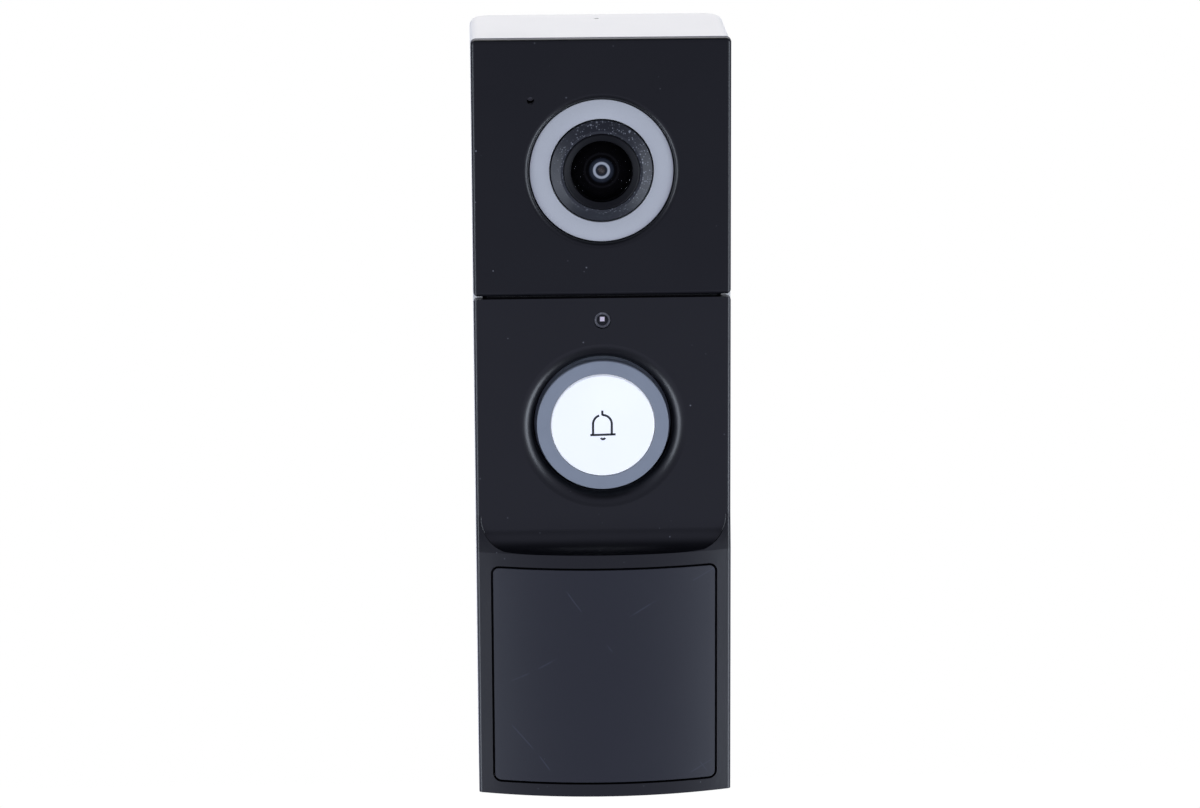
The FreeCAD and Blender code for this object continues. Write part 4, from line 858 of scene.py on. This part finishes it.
class PieceTree:
    """A geometry node tree with named sizes, baked to one plain mesh."""

    def __init__(self, name: str) -> None:
        """Makes an empty tree that takes and gives geometry."""
        self.name = name
        self.tree = bpy.data.node_groups.new(name, "GeometryNodeTree")
        face = self.tree.interface
        face.new_socket("Geometry", in_out="INPUT", socket_type="NodeSocketGeometry")
        face.new_socket("Geometry", in_out="OUTPUT", socket_type="NodeSocketGeometry")
        self.entry = self.tree.nodes.new("NodeGroupInput")
        self.sizes: dict[str, float] = {}
        self.handles: dict[str, str] = {}

    def size(self, name: str, value: float) -> bpy.types.NodeSocket:
        """Adds a named size in metres.

        Args:
            name: the input's name.
            value: its value.

        Returns:
            The socket to link from.
        """
        item = self.tree.interface.new_socket(name, in_out="INPUT",
                                              socket_type="NodeSocketFloat")
        self.sizes[name] = value
        self.handles[name] = item.identifier
        return self.entry.outputs[name]

    def add(self, kind: str, settings: dict[str, Any] | None = None,
            values: dict[str | int, Any] | None = None,
            output: str | int = 0) -> bpy.types.NodeSocket:
        """Adds any node and returns one of its outputs.

        Args:
            kind: the node's type.
            settings: node settings, set first.
            values: numbers or sockets for the inputs, by name or index.
            output: which output to return.

        Returns:
            The output socket.
        """
        node = self.tree.nodes.new(kind)
        for key, value in (settings or {}).items():
            setattr(node, key, value)
        for key, value in (values or {}).items():
            links = value if isinstance(value, list) else [value]
            for part in reversed(links):
                if isinstance(part, bpy.types.NodeSocket):
                    self.tree.links.new(part, node.inputs[key])
                else:
                    node.inputs[key].default_value = part
        return node.outputs[output]

    def moved(self, piece: bpy.types.NodeSocket, offset: tuple[float, float, float] = (0, 0, 0),
              turn: tuple[float, float, float] = (0, 0, 0)) -> bpy.types.NodeSocket:
        """A piece shifted and turned."""
        return self.add("GeometryNodeTransform", None,
                        {"Geometry": piece, "Translation": offset, "Rotation": turn})

    def bake(self, name: str, places: Sequence[Vector], piece: bpy.types.NodeSocket,
             material: bpy.types.Material) -> bpy.types.Object:
        """Copies a piece to a few points, runs the tree and keeps the plain mesh.

        Args:
            name: the new piece's name.
            places: where the copies go.
            piece: the tree's geometry for one copy.
            material: its finish.

        Returns:
            The baked piece, at the origin.
        """
        copies = self.add("GeometryNodeInstanceOnPoints", None,
                          {"Points": self.entry.outputs["Geometry"], "Instance": piece})
        real = self.add("GeometryNodeRealizeInstances", None, {"Geometry": copies})
        dressed = self.add("GeometryNodeSetMaterial", None,
                           {"Geometry": real, "Material": material})
        leave = self.tree.nodes.new("NodeGroupOutput")
        self.tree.links.new(dressed, leave.inputs["Geometry"])
        seed = bpy.data.meshes.new(f"{name}_points")
        seed.from_pydata([tuple(place) for place in places], [], [])
        carrier = link_new(f"{name}_points", seed)
        modifier = carrier.modifiers.new(self.name, "NODES")
        modifier.node_group = self.tree
        for label, value in self.sizes.items():
            modifier[self.handles[label]] = value
        graph = bpy.context.evaluated_depsgraph_get()
        mesh = bpy.data.meshes.new_from_object(carrier.evaluated_get(graph))
        carrier.modifiers.clear()
        bpy.data.objects.remove(carrier)
        bpy.data.meshes.remove(seed)
        mesh.name = name
        tidy_mesh(mesh)
        return link_new(name, mesh)


def islands(node: str) -> list[tuple[Vector, Vector]]:
    """The boxes of a node's separate solids, from lowest to highest.

    Args:
        node: the frame node's name.

    Returns:
        Lowest and highest corners of each solid.
    """
    work = bmesh.new()
    work.from_mesh(FRAME["nodes"][node].data)
    bmesh.ops.remove_doubles(work, verts=work.verts, dist=1e-6)
    left = set(work.verts)
    boxes = []
    while left:
        front = [left.pop()]
        found = list(front)
        while front:
            vertex = front.pop()
            for edge in vertex.link_edges:
                other = edge.other_vert(vertex)
                if other in left:
                    left.discard(other)
                    front.append(other)
                    found.append(other)
        low = Vector([min(v.co[axis] for v in found) for axis in range(3)])
        high = Vector([max(v.co[axis] for v in found) for axis in range(3)])
        boxes.append((low, high))
    work.free()
    return sorted(boxes, key=lambda pair: (round(pair[0].z, 5), round(pair[0].x, 5)))


@dataclass
class ScrewSet:
    """Cross-recess screws whose heads look to the wall, made by a node tree."""

    node: str
    slot: str
    head_tall: float
    head_radius: float
    shank_radius: float
    recess_long: float = 1.15
    recess_wide: float = 0.26

    def build(self, material: bpy.types.Material) -> None:
        """Builds every screw as one mesh.

        Args:
            material: the screws' finish.
        """
        places = islands(self.node)
        long = places[0][1].y - places[0][0].y
        kit = PieceTree(f"{self.node}_tree")
        screw = kit.add("GeometryNodeJoinGeometry", None,
                        {"Geometry": [self.head(kit), self.shank(kit, long)]})
        screw = kit.moved(screw, turn=(math.radians(-90), 0, 0))
        inset = Vector((0, self.head_tall / 2, 0))
        heads = [Vector(((low.x + high.x) / 2, high.y, (low.z + high.z) / 2)) - inset
                 for low, high in places]
        place_piece(kit.bake(self.node + "_cut", heads, screw, material), self.slot, self.node)

    def head(self, kit: PieceTree) -> bpy.types.NodeSocket:
        """The head, with its cross cut."""
        radius = kit.size("Head Radius", self.head_radius)
        tall = kit.size("Head Height", self.head_tall)
        head = kit.add("GeometryNodeMeshCylinder", {"fill_type": "NGON"},
                       {"Vertices": 40, "Radius": radius, "Depth": tall})
        long, wide = (self.head_radius * share for share in (self.recess_long, self.recess_wide))
        cross = [kit.add("GeometryNodeMeshCube", None, {"Size": (x, y, self.head_tall)})
                 for x, y in ((long, wide), (wide, long))]
        recess = kit.moved(kit.add("GeometryNodeMeshBoolean", {"operation": "UNION"},
                                   {1: cross}), (0, 0, self.head_tall / 2))
        return kit.add("GeometryNodeMeshBoolean", {"operation": "DIFFERENCE"},
                       {0: head, 1: recess})

    def shank(self, kit: PieceTree, long: float) -> bpy.types.NodeSocket:
        """The shank below the head of a screw of the given length."""
        radius = kit.size("Shank Radius", self.shank_radius)
        depth = kit.size("Shank Length", long - self.head_tall)
        shank = kit.add("GeometryNodeMeshCylinder", {"fill_type": "NGON"},
                        {"Vertices": 24, "Radius": radius, "Depth": depth})
        return kit.moved(shank, (0, 0, -long / 2))


@dataclass
class LampSet:
    """Small moulded lamps with domed lenses, made by a node tree."""

    node: str
    slot: str
    dome_share: float = 0.42
    case_share: float = 0.6
    dome_sink: float = 0.08

    def build(self, material: bpy.types.Material) -> None:
        """Builds every lamp as one mesh.

        Args:
            material: the lamps' finish.
        """
        places = islands(self.node)
        size = places[0][1] - places[0][0]
        kit = PieceTree(f"{self.node}_tree")
        radius = min(size.x, size.z) * self.dome_share
        dome_radius = kit.size("Dome Radius", radius)
        case = kit.add("GeometryNodeMeshCube", None,
                       {"Size": (size.x, size.y * self.case_share, size.z), "Vertices X": 2})
        case = kit.moved(case, (0, size.y * (1 - self.case_share) / 2, 0))
        dome = kit.add("GeometryNodeMeshUVSphere", None,
                       {"Segments": 20, "Rings": 12, "Radius": dome_radius})
        flat = size.y * (0.5 - self.dome_sink) / radius
        dome = kit.add("GeometryNodeTransform", None,
                       {"Geometry": dome, "Translation": (0, -size.y * self.dome_sink, 0),
                        "Scale": (1.0, min(flat, 1.0), 1.0)})
        lamp = kit.add("GeometryNodeJoinGeometry", None, {"Geometry": [case, dome]})
        middles = [(low + high) / 2 for low, high in places]
        place_piece(kit.bake(self.node + "_domed", middles, lamp, material), self.slot,
                    self.node)


@dataclass
class SpeakerCloth:
    """Woven dust cloth over the speaker, made by a node tree."""

    pitch: float = 0.36 * MM
    thread: float = 0.16 * MM
    margin: float = 1.3 * MM
    lift: float = 0.25 * MM
    overlap: float = 0.55

    def build(self, material: bpy.types.Material) -> None:
        """Builds the cloth just inside the gasket.

        Args:
            material: the cloth's finish.
        """
        low, high = box_of("speaker_gasket")
        wide = high.x - low.x - 2 * self.margin
        deep = high.y - low.y - 2 * self.margin
        kit = PieceTree("speaker_cloth_tree")
        thread = kit.size("Thread", self.thread)
        weft = kit.add("ShaderNodeCombineXYZ", None, {"X": wide, "Y": thread, "Z": thread})
        warp = kit.add("ShaderNodeCombineXYZ", None, {"X": thread, "Y": deep, "Z": thread})
        rows = []
        for bar, run, length in ((weft, (0, 1), deep), (warp, (1, 0), wide)):
            count = int(length / self.pitch)
            stick = kit.add("GeometryNodeMeshCube", None, {"Size": bar})
            step = (run[0] * self.pitch, run[1] * self.pitch, 0)
            start = tuple(-part * (count - 1) / 2 for part in step)
            line = kit.add("GeometryNodeMeshLine", None,
                           {"Count": count, "Start Location": start, "Offset": step})
            rows.append(kit.add("GeometryNodeInstanceOnPoints", None,
                                {"Points": line, "Instance": stick}))
        rows[1] = kit.moved(rows[1], (0, 0, self.thread * self.overlap))
        weave = kit.add("GeometryNodeJoinGeometry", None, {"Geometry": rows})
        place = Vector(((low.x + high.x) / 2, (low.y + high.y) / 2, low.z + self.lift))
        place_piece(kit.bake("speaker_cloth", [place], weave, material), "foam_black")


# ------------------------------------------------------------------ studio

@dataclass
class Softbox:
    """One soft area light that looks at the doorbell."""

    name: str
    place: tuple[float, float, float]
    wide: float
    tall: float
    power: float
    colour: Colour = (1.0, 1.0, 1.0)

    def build(self, target: Vector) -> None:
        """Makes the light and turns it to the target."""
        data = bpy.data.lights.new(self.name, "AREA")
        data.shape = "RECTANGLE"
        data.size, data.size_y = self.wide, self.tall
        data.energy = self.power
        data.color = self.colour
        lamp = link_new(self.name, data)
        lamp.location = self.place
        aim = target - Vector(self.place)
        lamp.rotation_mode = "QUATERNION"
        lamp.rotation_quaternion = aim.to_track_quat("-Z", "Y")


@dataclass
class Studio:
    """Camera, lights, background and floor."""

    distance: float = 0.848
    elevation: float = 13.5
    azimuth: float = -1.9
    roll: float = -0.3
    lens: float = 130.4
    sensor: float = 36.0
    near: float = 0.01
    aim: tuple[float, float, float] = (-0.00057, -0.034, 0.00346)
    floor_drop: float = 0.16
    floor_half: float = 0.45
    room: tuple[tuple[float, float], ...] = (
        (-90.0, 0.14), (-45.0, 0.20), (-30.0, 0.50), (-20.0, 0.76), (-14.0, 0.52),
        (-9.0, 0.19), (0.0, 0.22), (20.0, 0.42), (42.0, 0.40), (58.0, 0.14),
        (75.0, 0.03), (90.0, 0.03))
    room_tint: Colour = (0.92, 0.95, 1.28)
    boxes: list[Softbox] = field(default_factory=list)

    def build(self) -> None:
        """Builds the whole studio."""
        self.build_camera()
        self.build_background()
        self.build_floor()
        target = Vector(self.aim)
        for light in self.boxes:
            light.build(target)
        scene = bpy.context.scene
        scene.view_settings.view_transform = "Standard"

    def build_camera(self) -> None:
        """Makes the camera at its viewing angle."""
        data = bpy.data.cameras.new("camera")
        data.lens = self.lens
        data.sensor_width = self.sensor
        data.clip_start = self.near
        camera = link_new("camera", data)
        lift, side = math.radians(self.elevation), math.radians(self.azimuth)
        back = Vector((math.sin(side) * math.cos(lift), -math.cos(side) * math.cos(lift),
                       math.sin(lift)))
        camera.location = Vector(self.aim) + back * self.distance
        camera.rotation_mode = "QUATERNION"
        turn = (-back).to_track_quat("-Z", "Y").to_matrix()
        twist = Matrix.Rotation(math.radians(self.roll), 3, "Z")
        camera.rotation_quaternion = (turn @ twist).to_quaternion()
        bpy.context.scene.camera = camera

    def build_background(self) -> None:
        """White to the camera; to reflections, a dark room over a bright table front."""
        world = bpy.data.worlds.new("studio")
        world.use_nodes = True
        bpy.context.scene.world = world
        graph = Graph.of_tree(world.node_tree)
        where = graph.add("ShaderNodeTexCoord", output="Generated")
        level = graph.add("ShaderNodeSeparateXYZ", None, {0: where}, "Z")
        stops = [(turn_stop(angle), tuple(part * glow for part in self.room_tint))
                 for angle, glow in self.room]
        glow = graph.add("ShaderNodeValToRGB", {"stops": stops}, {0: level * 0.5 + 0.5})
        room = graph.add("ShaderNodeBackground", None, {"Color": glow})
        white = graph.add("ShaderNodeBackground", None, {"Color": (1.0, 1.0, 1.0)})
        seen = graph.add("ShaderNodeLightPath", output="Is Camera Ray")
        mixed = graph.add("ShaderNodeMixShader", None, {0: seen, 1: room, 2: white})
        output = graph.tree.nodes.new("ShaderNodeOutputWorld")
        graph.tree.links.new(mixed.socket, output.inputs["Surface"])

    def build_floor(self) -> None:
        """A plain pale floor well below the doorbell."""
        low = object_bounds()[0].z - self.floor_drop
        half = self.floor_half
        corners = [(-half, -half, low), (half, -half, low), (half, half, low), (-half, half, low)]
        floor = add_piece("floor", corners, [(0, 1, 2, 3)], PaleFloor("pale_floor").build())
        floor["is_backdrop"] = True


# ------------------------------------------------------------------ sub-assemblies

@dataclass
class Shells:
    """Housing, covers, sensor panel and bracket."""

    head_shine: float = 0.42
    cover_shine: float = 0.50

    def build(self) -> None:
        """Dresses the shells."""
        for node, name, shine in (("head_cover", "head_face", self.head_shine),
                                  ("lower_cover", "black_face", self.cover_shine)):
            dress(MouldedPlastic(name, (0.0022, 0.0024, 0.0036), rough=0.34, dust=0.34,
                                 depth=0.0000009, specular=shine).build(), node)
        dress(MouldedPlastic("panel_face", (0.0090, 0.0100, 0.0152), rough=0.44, dust=0.09,
                             scratches=1.4, depth=0.0000012).build(), "sensor_panel")
        dress(MouldedPlastic("white_shell", (0.80, 0.79, 0.74), rough=0.48, depth=0.000012,
                             grain=0.0003).build(), "rear_housing")
        dress(MouldedPlastic("bracket_plastic", (0.03, 0.03, 0.033), rough=0.6,
                             depth=0.00002, grain=0.0004).build(), "wall_bracket")


@dataclass
class CameraGroup:
    """Trim ring, cone, barrel, front glass and the baffle behind it, with painted reflection
    rings.
    """

    ring_inner: float = 10.1 * MM
    ring_bevel: float = 0.12 * MM
    dust_inner: float = 7.4 * MM
    dust_outer: float = 10.0 * MM
    baffle_radius: float = 5.8 * MM
    baffle_thick: float = 0.3 * MM
    baffle_gap: float = 0.05 * MM
    glass_rise: float = 1.9 * MM
    glass_thick: float = 1.1 * MM
    glass_rim: float = 0.6 * MM
    hollow_share: float = 0.86

    def __post_init__(self) -> None:
        """Finds the camera's axis from the trim ring."""
        low, high = box_of("camera_trim_ring")
        self.centre = Vector(((low.x + high.x) / 2, high.y, (low.z + high.z) / 2))
        self.ring_outer = (high.x - low.x) / 2
        self.ring_thick = high.y - low.y

    def build(self) -> None:
        """Builds and dresses the camera."""
        self.build_ring()
        self.dress_cone()
        self.build_baffle()
        self.build_glass()

    def build_ring(self) -> None:
        """The flat bright ring, turned with fine bevels."""
        inner, outer, bevel = self.ring_inner, self.ring_outer, self.ring_bevel
        shoulder = self.ring_thick - bevel
        outline = [(inner, 0.0), (outer, 0.0), (outer, shoulder)]
        bend(outline, 0, 90, bevel, (outer - bevel, shoulder), 4)
        bend(outline, 90, 180, bevel, (inner + bevel, shoulder), 4)
        metal = BeadedMetal("silver_ring", (0.59, 0.61, 0.605)).build()
        place_piece(lathe("trim_ring", outline, self.centre, metal, 256), "silver_ring",
                    "camera_trim_ring")

    def dress_cone(self) -> None:
        """Finish of the cone and the barrel."""
        dress(SpeckledWindow("infrared_window", (0.020, 0.0220, 0.027), tuple(self.centre),
                             self.dust_inner, self.dust_outer).build(), "camera_cone")
        dress(MouldedPlastic("barrel_black", (0.0055, 0.0058, 0.0072), rough=0.50,
                             specular=0.16, depth=0.000001).build(), "lens_barrel")

    def build_baffle(self) -> None:
        """The baffle disc behind the front glass, with the lens's inner rings painted on it as
        reflections.
        """
        radius, thick = self.baffle_radius, self.baffle_thick
        rear = box_of("lens_dome")[1].y + thick + self.baffle_gap
        outline = [(0.0, 0.0), (radius, 0.0), (radius, thick * 0.8), (radius * 0.97, thick),
                   (0.0, thick)]
        finish = BafflePaintedReflections("lens_baffle", tuple(self.centre)).build()
        place_piece(lathe("lens_baffle", outline, self.on_axis(rear), finish, 128),
                    "barrel_black")

    def build_glass(self) -> None:
        """The domed front glass, hollow behind."""
        low, high = box_of("lens_dome")
        radius, rise = (high.x - low.x) / 2, self.glass_rise
        curve = (radius ** 2 + rise ** 2) / (2 * rise)
        hollow = curve - self.glass_thick
        middle = (high.y - low.y) - curve
        span = math.asin(radius / curve)
        outline = [(hollow * math.sin(turn), middle + hollow * math.cos(turn))
                   for turn in (span * self.hollow_share * step / 12 for step in range(13))]
        outline += [(radius - self.glass_rim, 0.0), (radius, 0.0)]
        outline += [(curve * math.sin(turn), middle + curve * math.cos(turn))
                    for turn in (span * (1 - step / 24) for step in range(25))]
        finish = CoatedGlass("front_glass", (0.0006, 0.0006, 0.001), 0.10, specular=0.02)
        place_piece(lathe("front_glass", outline, self.on_axis(high.y), finish.build(), 160),
                    "clear_glass", "lens_dome")

    def on_axis(self, level: float) -> Vector:
        """The point of the camera's axis at a given y."""
        return Vector((self.centre.x, level, self.centre.z))


@dataclass
class BellMark:
    """The generic bell outline printed on the button cap."""

    half: float = 1.83 * MM
    base: float = 2.47 * MM
    foot: float = -1.90 * MM
    shoulder: float = 0.25 * MM
    stem: float = 2.95 * MM
    stroke: float = 0.43 * MM
    tilt: float = 1.2
    shift: float = -0.10 * MM
    clapper_level: float = -2.38 * MM
    clapper_radius: float = 0.42 * MM
    proud: float = 0.015 * MM
    sunk: float = 0.05 * MM

    def paths(self) -> list[list[Vector]]:
        """The lines of the mark, measured from the cap's centre."""
        crown, middle = (self.shift, self.shoulder), self.shift
        right = [Vector((middle, 0, self.stem)), *self.arc(90, 0, crown, self.half),
                 Vector((middle + self.half, 0, self.foot))]
        left = [*self.arc(110, 180, crown, self.half),
                Vector((middle - self.half, 0, self.foot))]
        lift = self.base * math.tan(math.radians(self.tilt))
        rim = [Vector((-self.base, 0, self.foot - lift)),
               Vector((self.base, 0, self.foot + lift))]
        clapper = self.arc(200, 340, (0.0, self.clapper_level), self.clapper_radius)
        return [right, left, rim, clapper]

    def arc(self, start: float, end: float, centre: tuple[float, float], radius: float
            ) -> list[Vector]:
        """Points along a circular arc in the front plane.

        Args:
            start: first angle, in degrees.
            end: last angle, in degrees.
            centre: the arc's centre, as x and z.
            radius: the arc's radius.

        Returns:
            The points.
        """
        points: list[tuple[float, float]] = []
        bend(points, start, end, radius, centre, 16)
        return [Vector((x, 0, z)) for x, z in points]

    def build(self, centre: Vector) -> None:
        """Builds the mark on the cap's face, whose centre is given."""
        vertices: list[Vector] = []
        faces: list[tuple[int, ...]] = []
        for path in self.paths():
            line = [Vector((point.x + centre.x, 0, point.z + centre.z)) for point in path]
            points, rings = ribbon(line, self.stroke, centre.y + self.sunk,
                                   centre.y - self.proud)
            start = len(vertices)
            vertices += points
            faces += [tuple(start + number for number in ring) for ring in rings]
        ink = printed_ink("bell_ink", (0.012, 0.013, 0.015)).build()
        place_piece(add_piece("bell_mark", vertices, faces, ink, Shading.FLAT), "chip_black",
                    body="button")


@dataclass
class ButtonGroup:
    """Light ring, cap and bell mark."""

    shade_edge: float = 0.06 * MM

    def build(self) -> None:
        """Builds and dresses the button."""
        centre, _ = front_of("button_cap")
        _, ring_radius = front_of("button_light_ring")
        dress(LightGuide("light_guide", (0.215, 0.240, 0.275), tuple(centre),
                         ring_radius - self.shade_edge).build(), "button_light_ring")
        # The cap's glow is painted light: the white cap emits a little to look brightly lit; it
        # is no lamp.
        dress(MouldedPlastic("button_white", (0.93, 0.94, 0.93), rough=0.32, depth=0.000001,
                             glow=0.13).build(), "button_cap")
        BellMark().build(centre)


@dataclass
class Insides:
    """Everything under the covers and in the rear recess."""

    seat_depth: float = 0.5 * MM
    seat_thick: float = 0.2 * MM
    seat_share: float = 0.96
    pipe_bevel: float = 0.1 * MM

    def build(self) -> None:
        """Dresses the inner nodes by finish, and builds what repeats."""
        self.dress_nodes()
        self.build_screws()
        pale = MouldedPlastic("chip_white", (0.78, 0.80, 0.82), rough=0.4).build()
        dress(pale, "light_sensor")
        LampSet("button_lamps", "chip_white").build(pale)
        LampSet("infrared_lamps", "lamp_resin").build(
            MouldedPlastic("lamp_resin", (0.05, 0.035, 0.06), rough=0.18).build())
        SpeakerCloth().build(rubber("speaker_cloth", (0.015, 0.015, 0.016), 0.8).build())
        self.build_window()

    def dress_nodes(self) -> None:
        """Gives each inner node the finish of what it is made of."""
        for finish, nodes in (
                (CircuitBoard("solder_mask"),
                 ("camera_board", "front_board", "button_board", "pir_board", "main_board",
                  "port_board")),
                (MouldedPlastic("frame_plastic", (0.02, 0.02, 0.022), rough=0.55),
                 ("front_frame", "lens_holder", "terminal_block")),
                (MouldedPlastic("latch_plastic", (0.10, 0.10, 0.11), rough=0.5),
                 ("release_latch", "latch_cover", "battery_tray")),
                (MouldedPlastic("chip_black", (0.012, 0.012, 0.013), rough=0.42),
                 ("image_sensor", "switch_plunger", "reset_switch", "speaker",
                  "aperture_ring")),
                (rubber("black_rubber", (0.018, 0.018, 0.019)),
                 ("housing_seal", "microphone_boot", "button_seal", "speaker_gasket")),
                (rubber("grey_rubber", (0.50, 0.51, 0.53), 0.6), ("port_flap", "reset_button")),
                (plated_metal("tin_plate", (0.62, 0.62, 0.63)),
                 ("microphone", "button_switch", "pir_sensor", "shield_can",
                  "charging_port")),
                (plated_metal("spring_steel", (0.48, 0.48, 0.50), 0.25), ("latch_spring",)),
                (CoatedGlass("inner_glass", (0.01, 0.01, 0.014), 0.5),
                 ("second_lens", "rear_lens")),
                (shrink_film("cell_wrap", (0.02, 0.10, 0.30)), ("battery_cells",)),
                (shrink_film("antenna_film", (0.22, 0.12, 0.03)), ("wifi_antenna",))):
            dress(finish.build(), *nodes)

    def build_screws(self) -> None:
        """Screws that hold the frame, and the two wire terminals."""
        zinc = plated_metal("zinc_steel", (0.52, 0.53, 0.55), 0.36).build()
        brass = plated_metal("brass_screw", (0.62, 0.47, 0.22), 0.3).build()
        ScrewSet("case_screws", "zinc_steel", head_tall=1.1 * MM, head_radius=1.8 * MM,
                 shank_radius=1.0 * MM).build(zinc)
        ScrewSet("terminal_screws", "brass_screw", head_tall=1.65 * MM, head_radius=2.7 * MM,
                 shank_radius=1.45 * MM).build(brass)

    def build_window(self) -> None:
        """The clear light pipe with the chip seen through it."""
        front, radius = front_of("sensor_window")
        inner, thick, bevel = radius * self.seat_share, self.seat_thick, self.pipe_bevel
        outline = [(0.0, 0.0), (inner, 0.0), (inner, thick), (0.0, thick)]
        seat = lathe("window_seat", outline, front + Vector((0, self.seat_depth + thick, 0)),
                     SensorHeart("window_seat", tuple(front)).build(), 64)
        shoulder = self.seat_depth - bevel
        outline = [(0.0, 0.0), (radius, 0.0), (radius, shoulder)]
        bend(outline, 0, 90, bevel, (radius - bevel, shoulder), 4)
        outline.append((0.0, self.seat_depth))
        pipe = lathe("window_pipe", outline, front + Vector((0, self.seat_depth, 0)),
                     CoatedGlass("window_clear", (0.02, 0.022, 0.026), 0.08).build(), 64)
        place_piece(seat, "chip_black")
        place_piece(pipe, "clear_glass", "sensor_window")


# ------------------------------------------------------------------ build

def studio_lights() -> list[Softbox]:
    """The soft lights: a wide one overhead and a cool strip at each side."""
    cool = (0.80, 0.88, 1.0)
    return [
        Softbox("overhead", (0.0, 0.56, 0.80), 1.5, 0.80, 11.4),
        Softbox("left_strip", (-0.86, -0.52, -0.28), 0.36, 1.25, 8.2, cool),
        Softbox("right_strip", (0.86, -0.50, -0.28), 0.36, 1.25, 9.8, cool),
    ]


def main() -> None:
    """Builds the studio and every sub-assembly in order, and reports each piece."""
    logging.basicConfig(level=logging.INFO, format="%(name)s: %(message)s")
    Studio(boxes=studio_lights()).build()
    for group in (Shells(), CameraGroup(), ButtonGroup(), Insides()):
        group.build()
        LOG.info("%s built", type(group).__name__)
    for piece in bpy.context.scene.objects:
        if piece.type == "MESH":
            LOG.info("%s: %d faces", piece.name, len(piece.data.polygons))


if __name__ == "__main__":
    main()
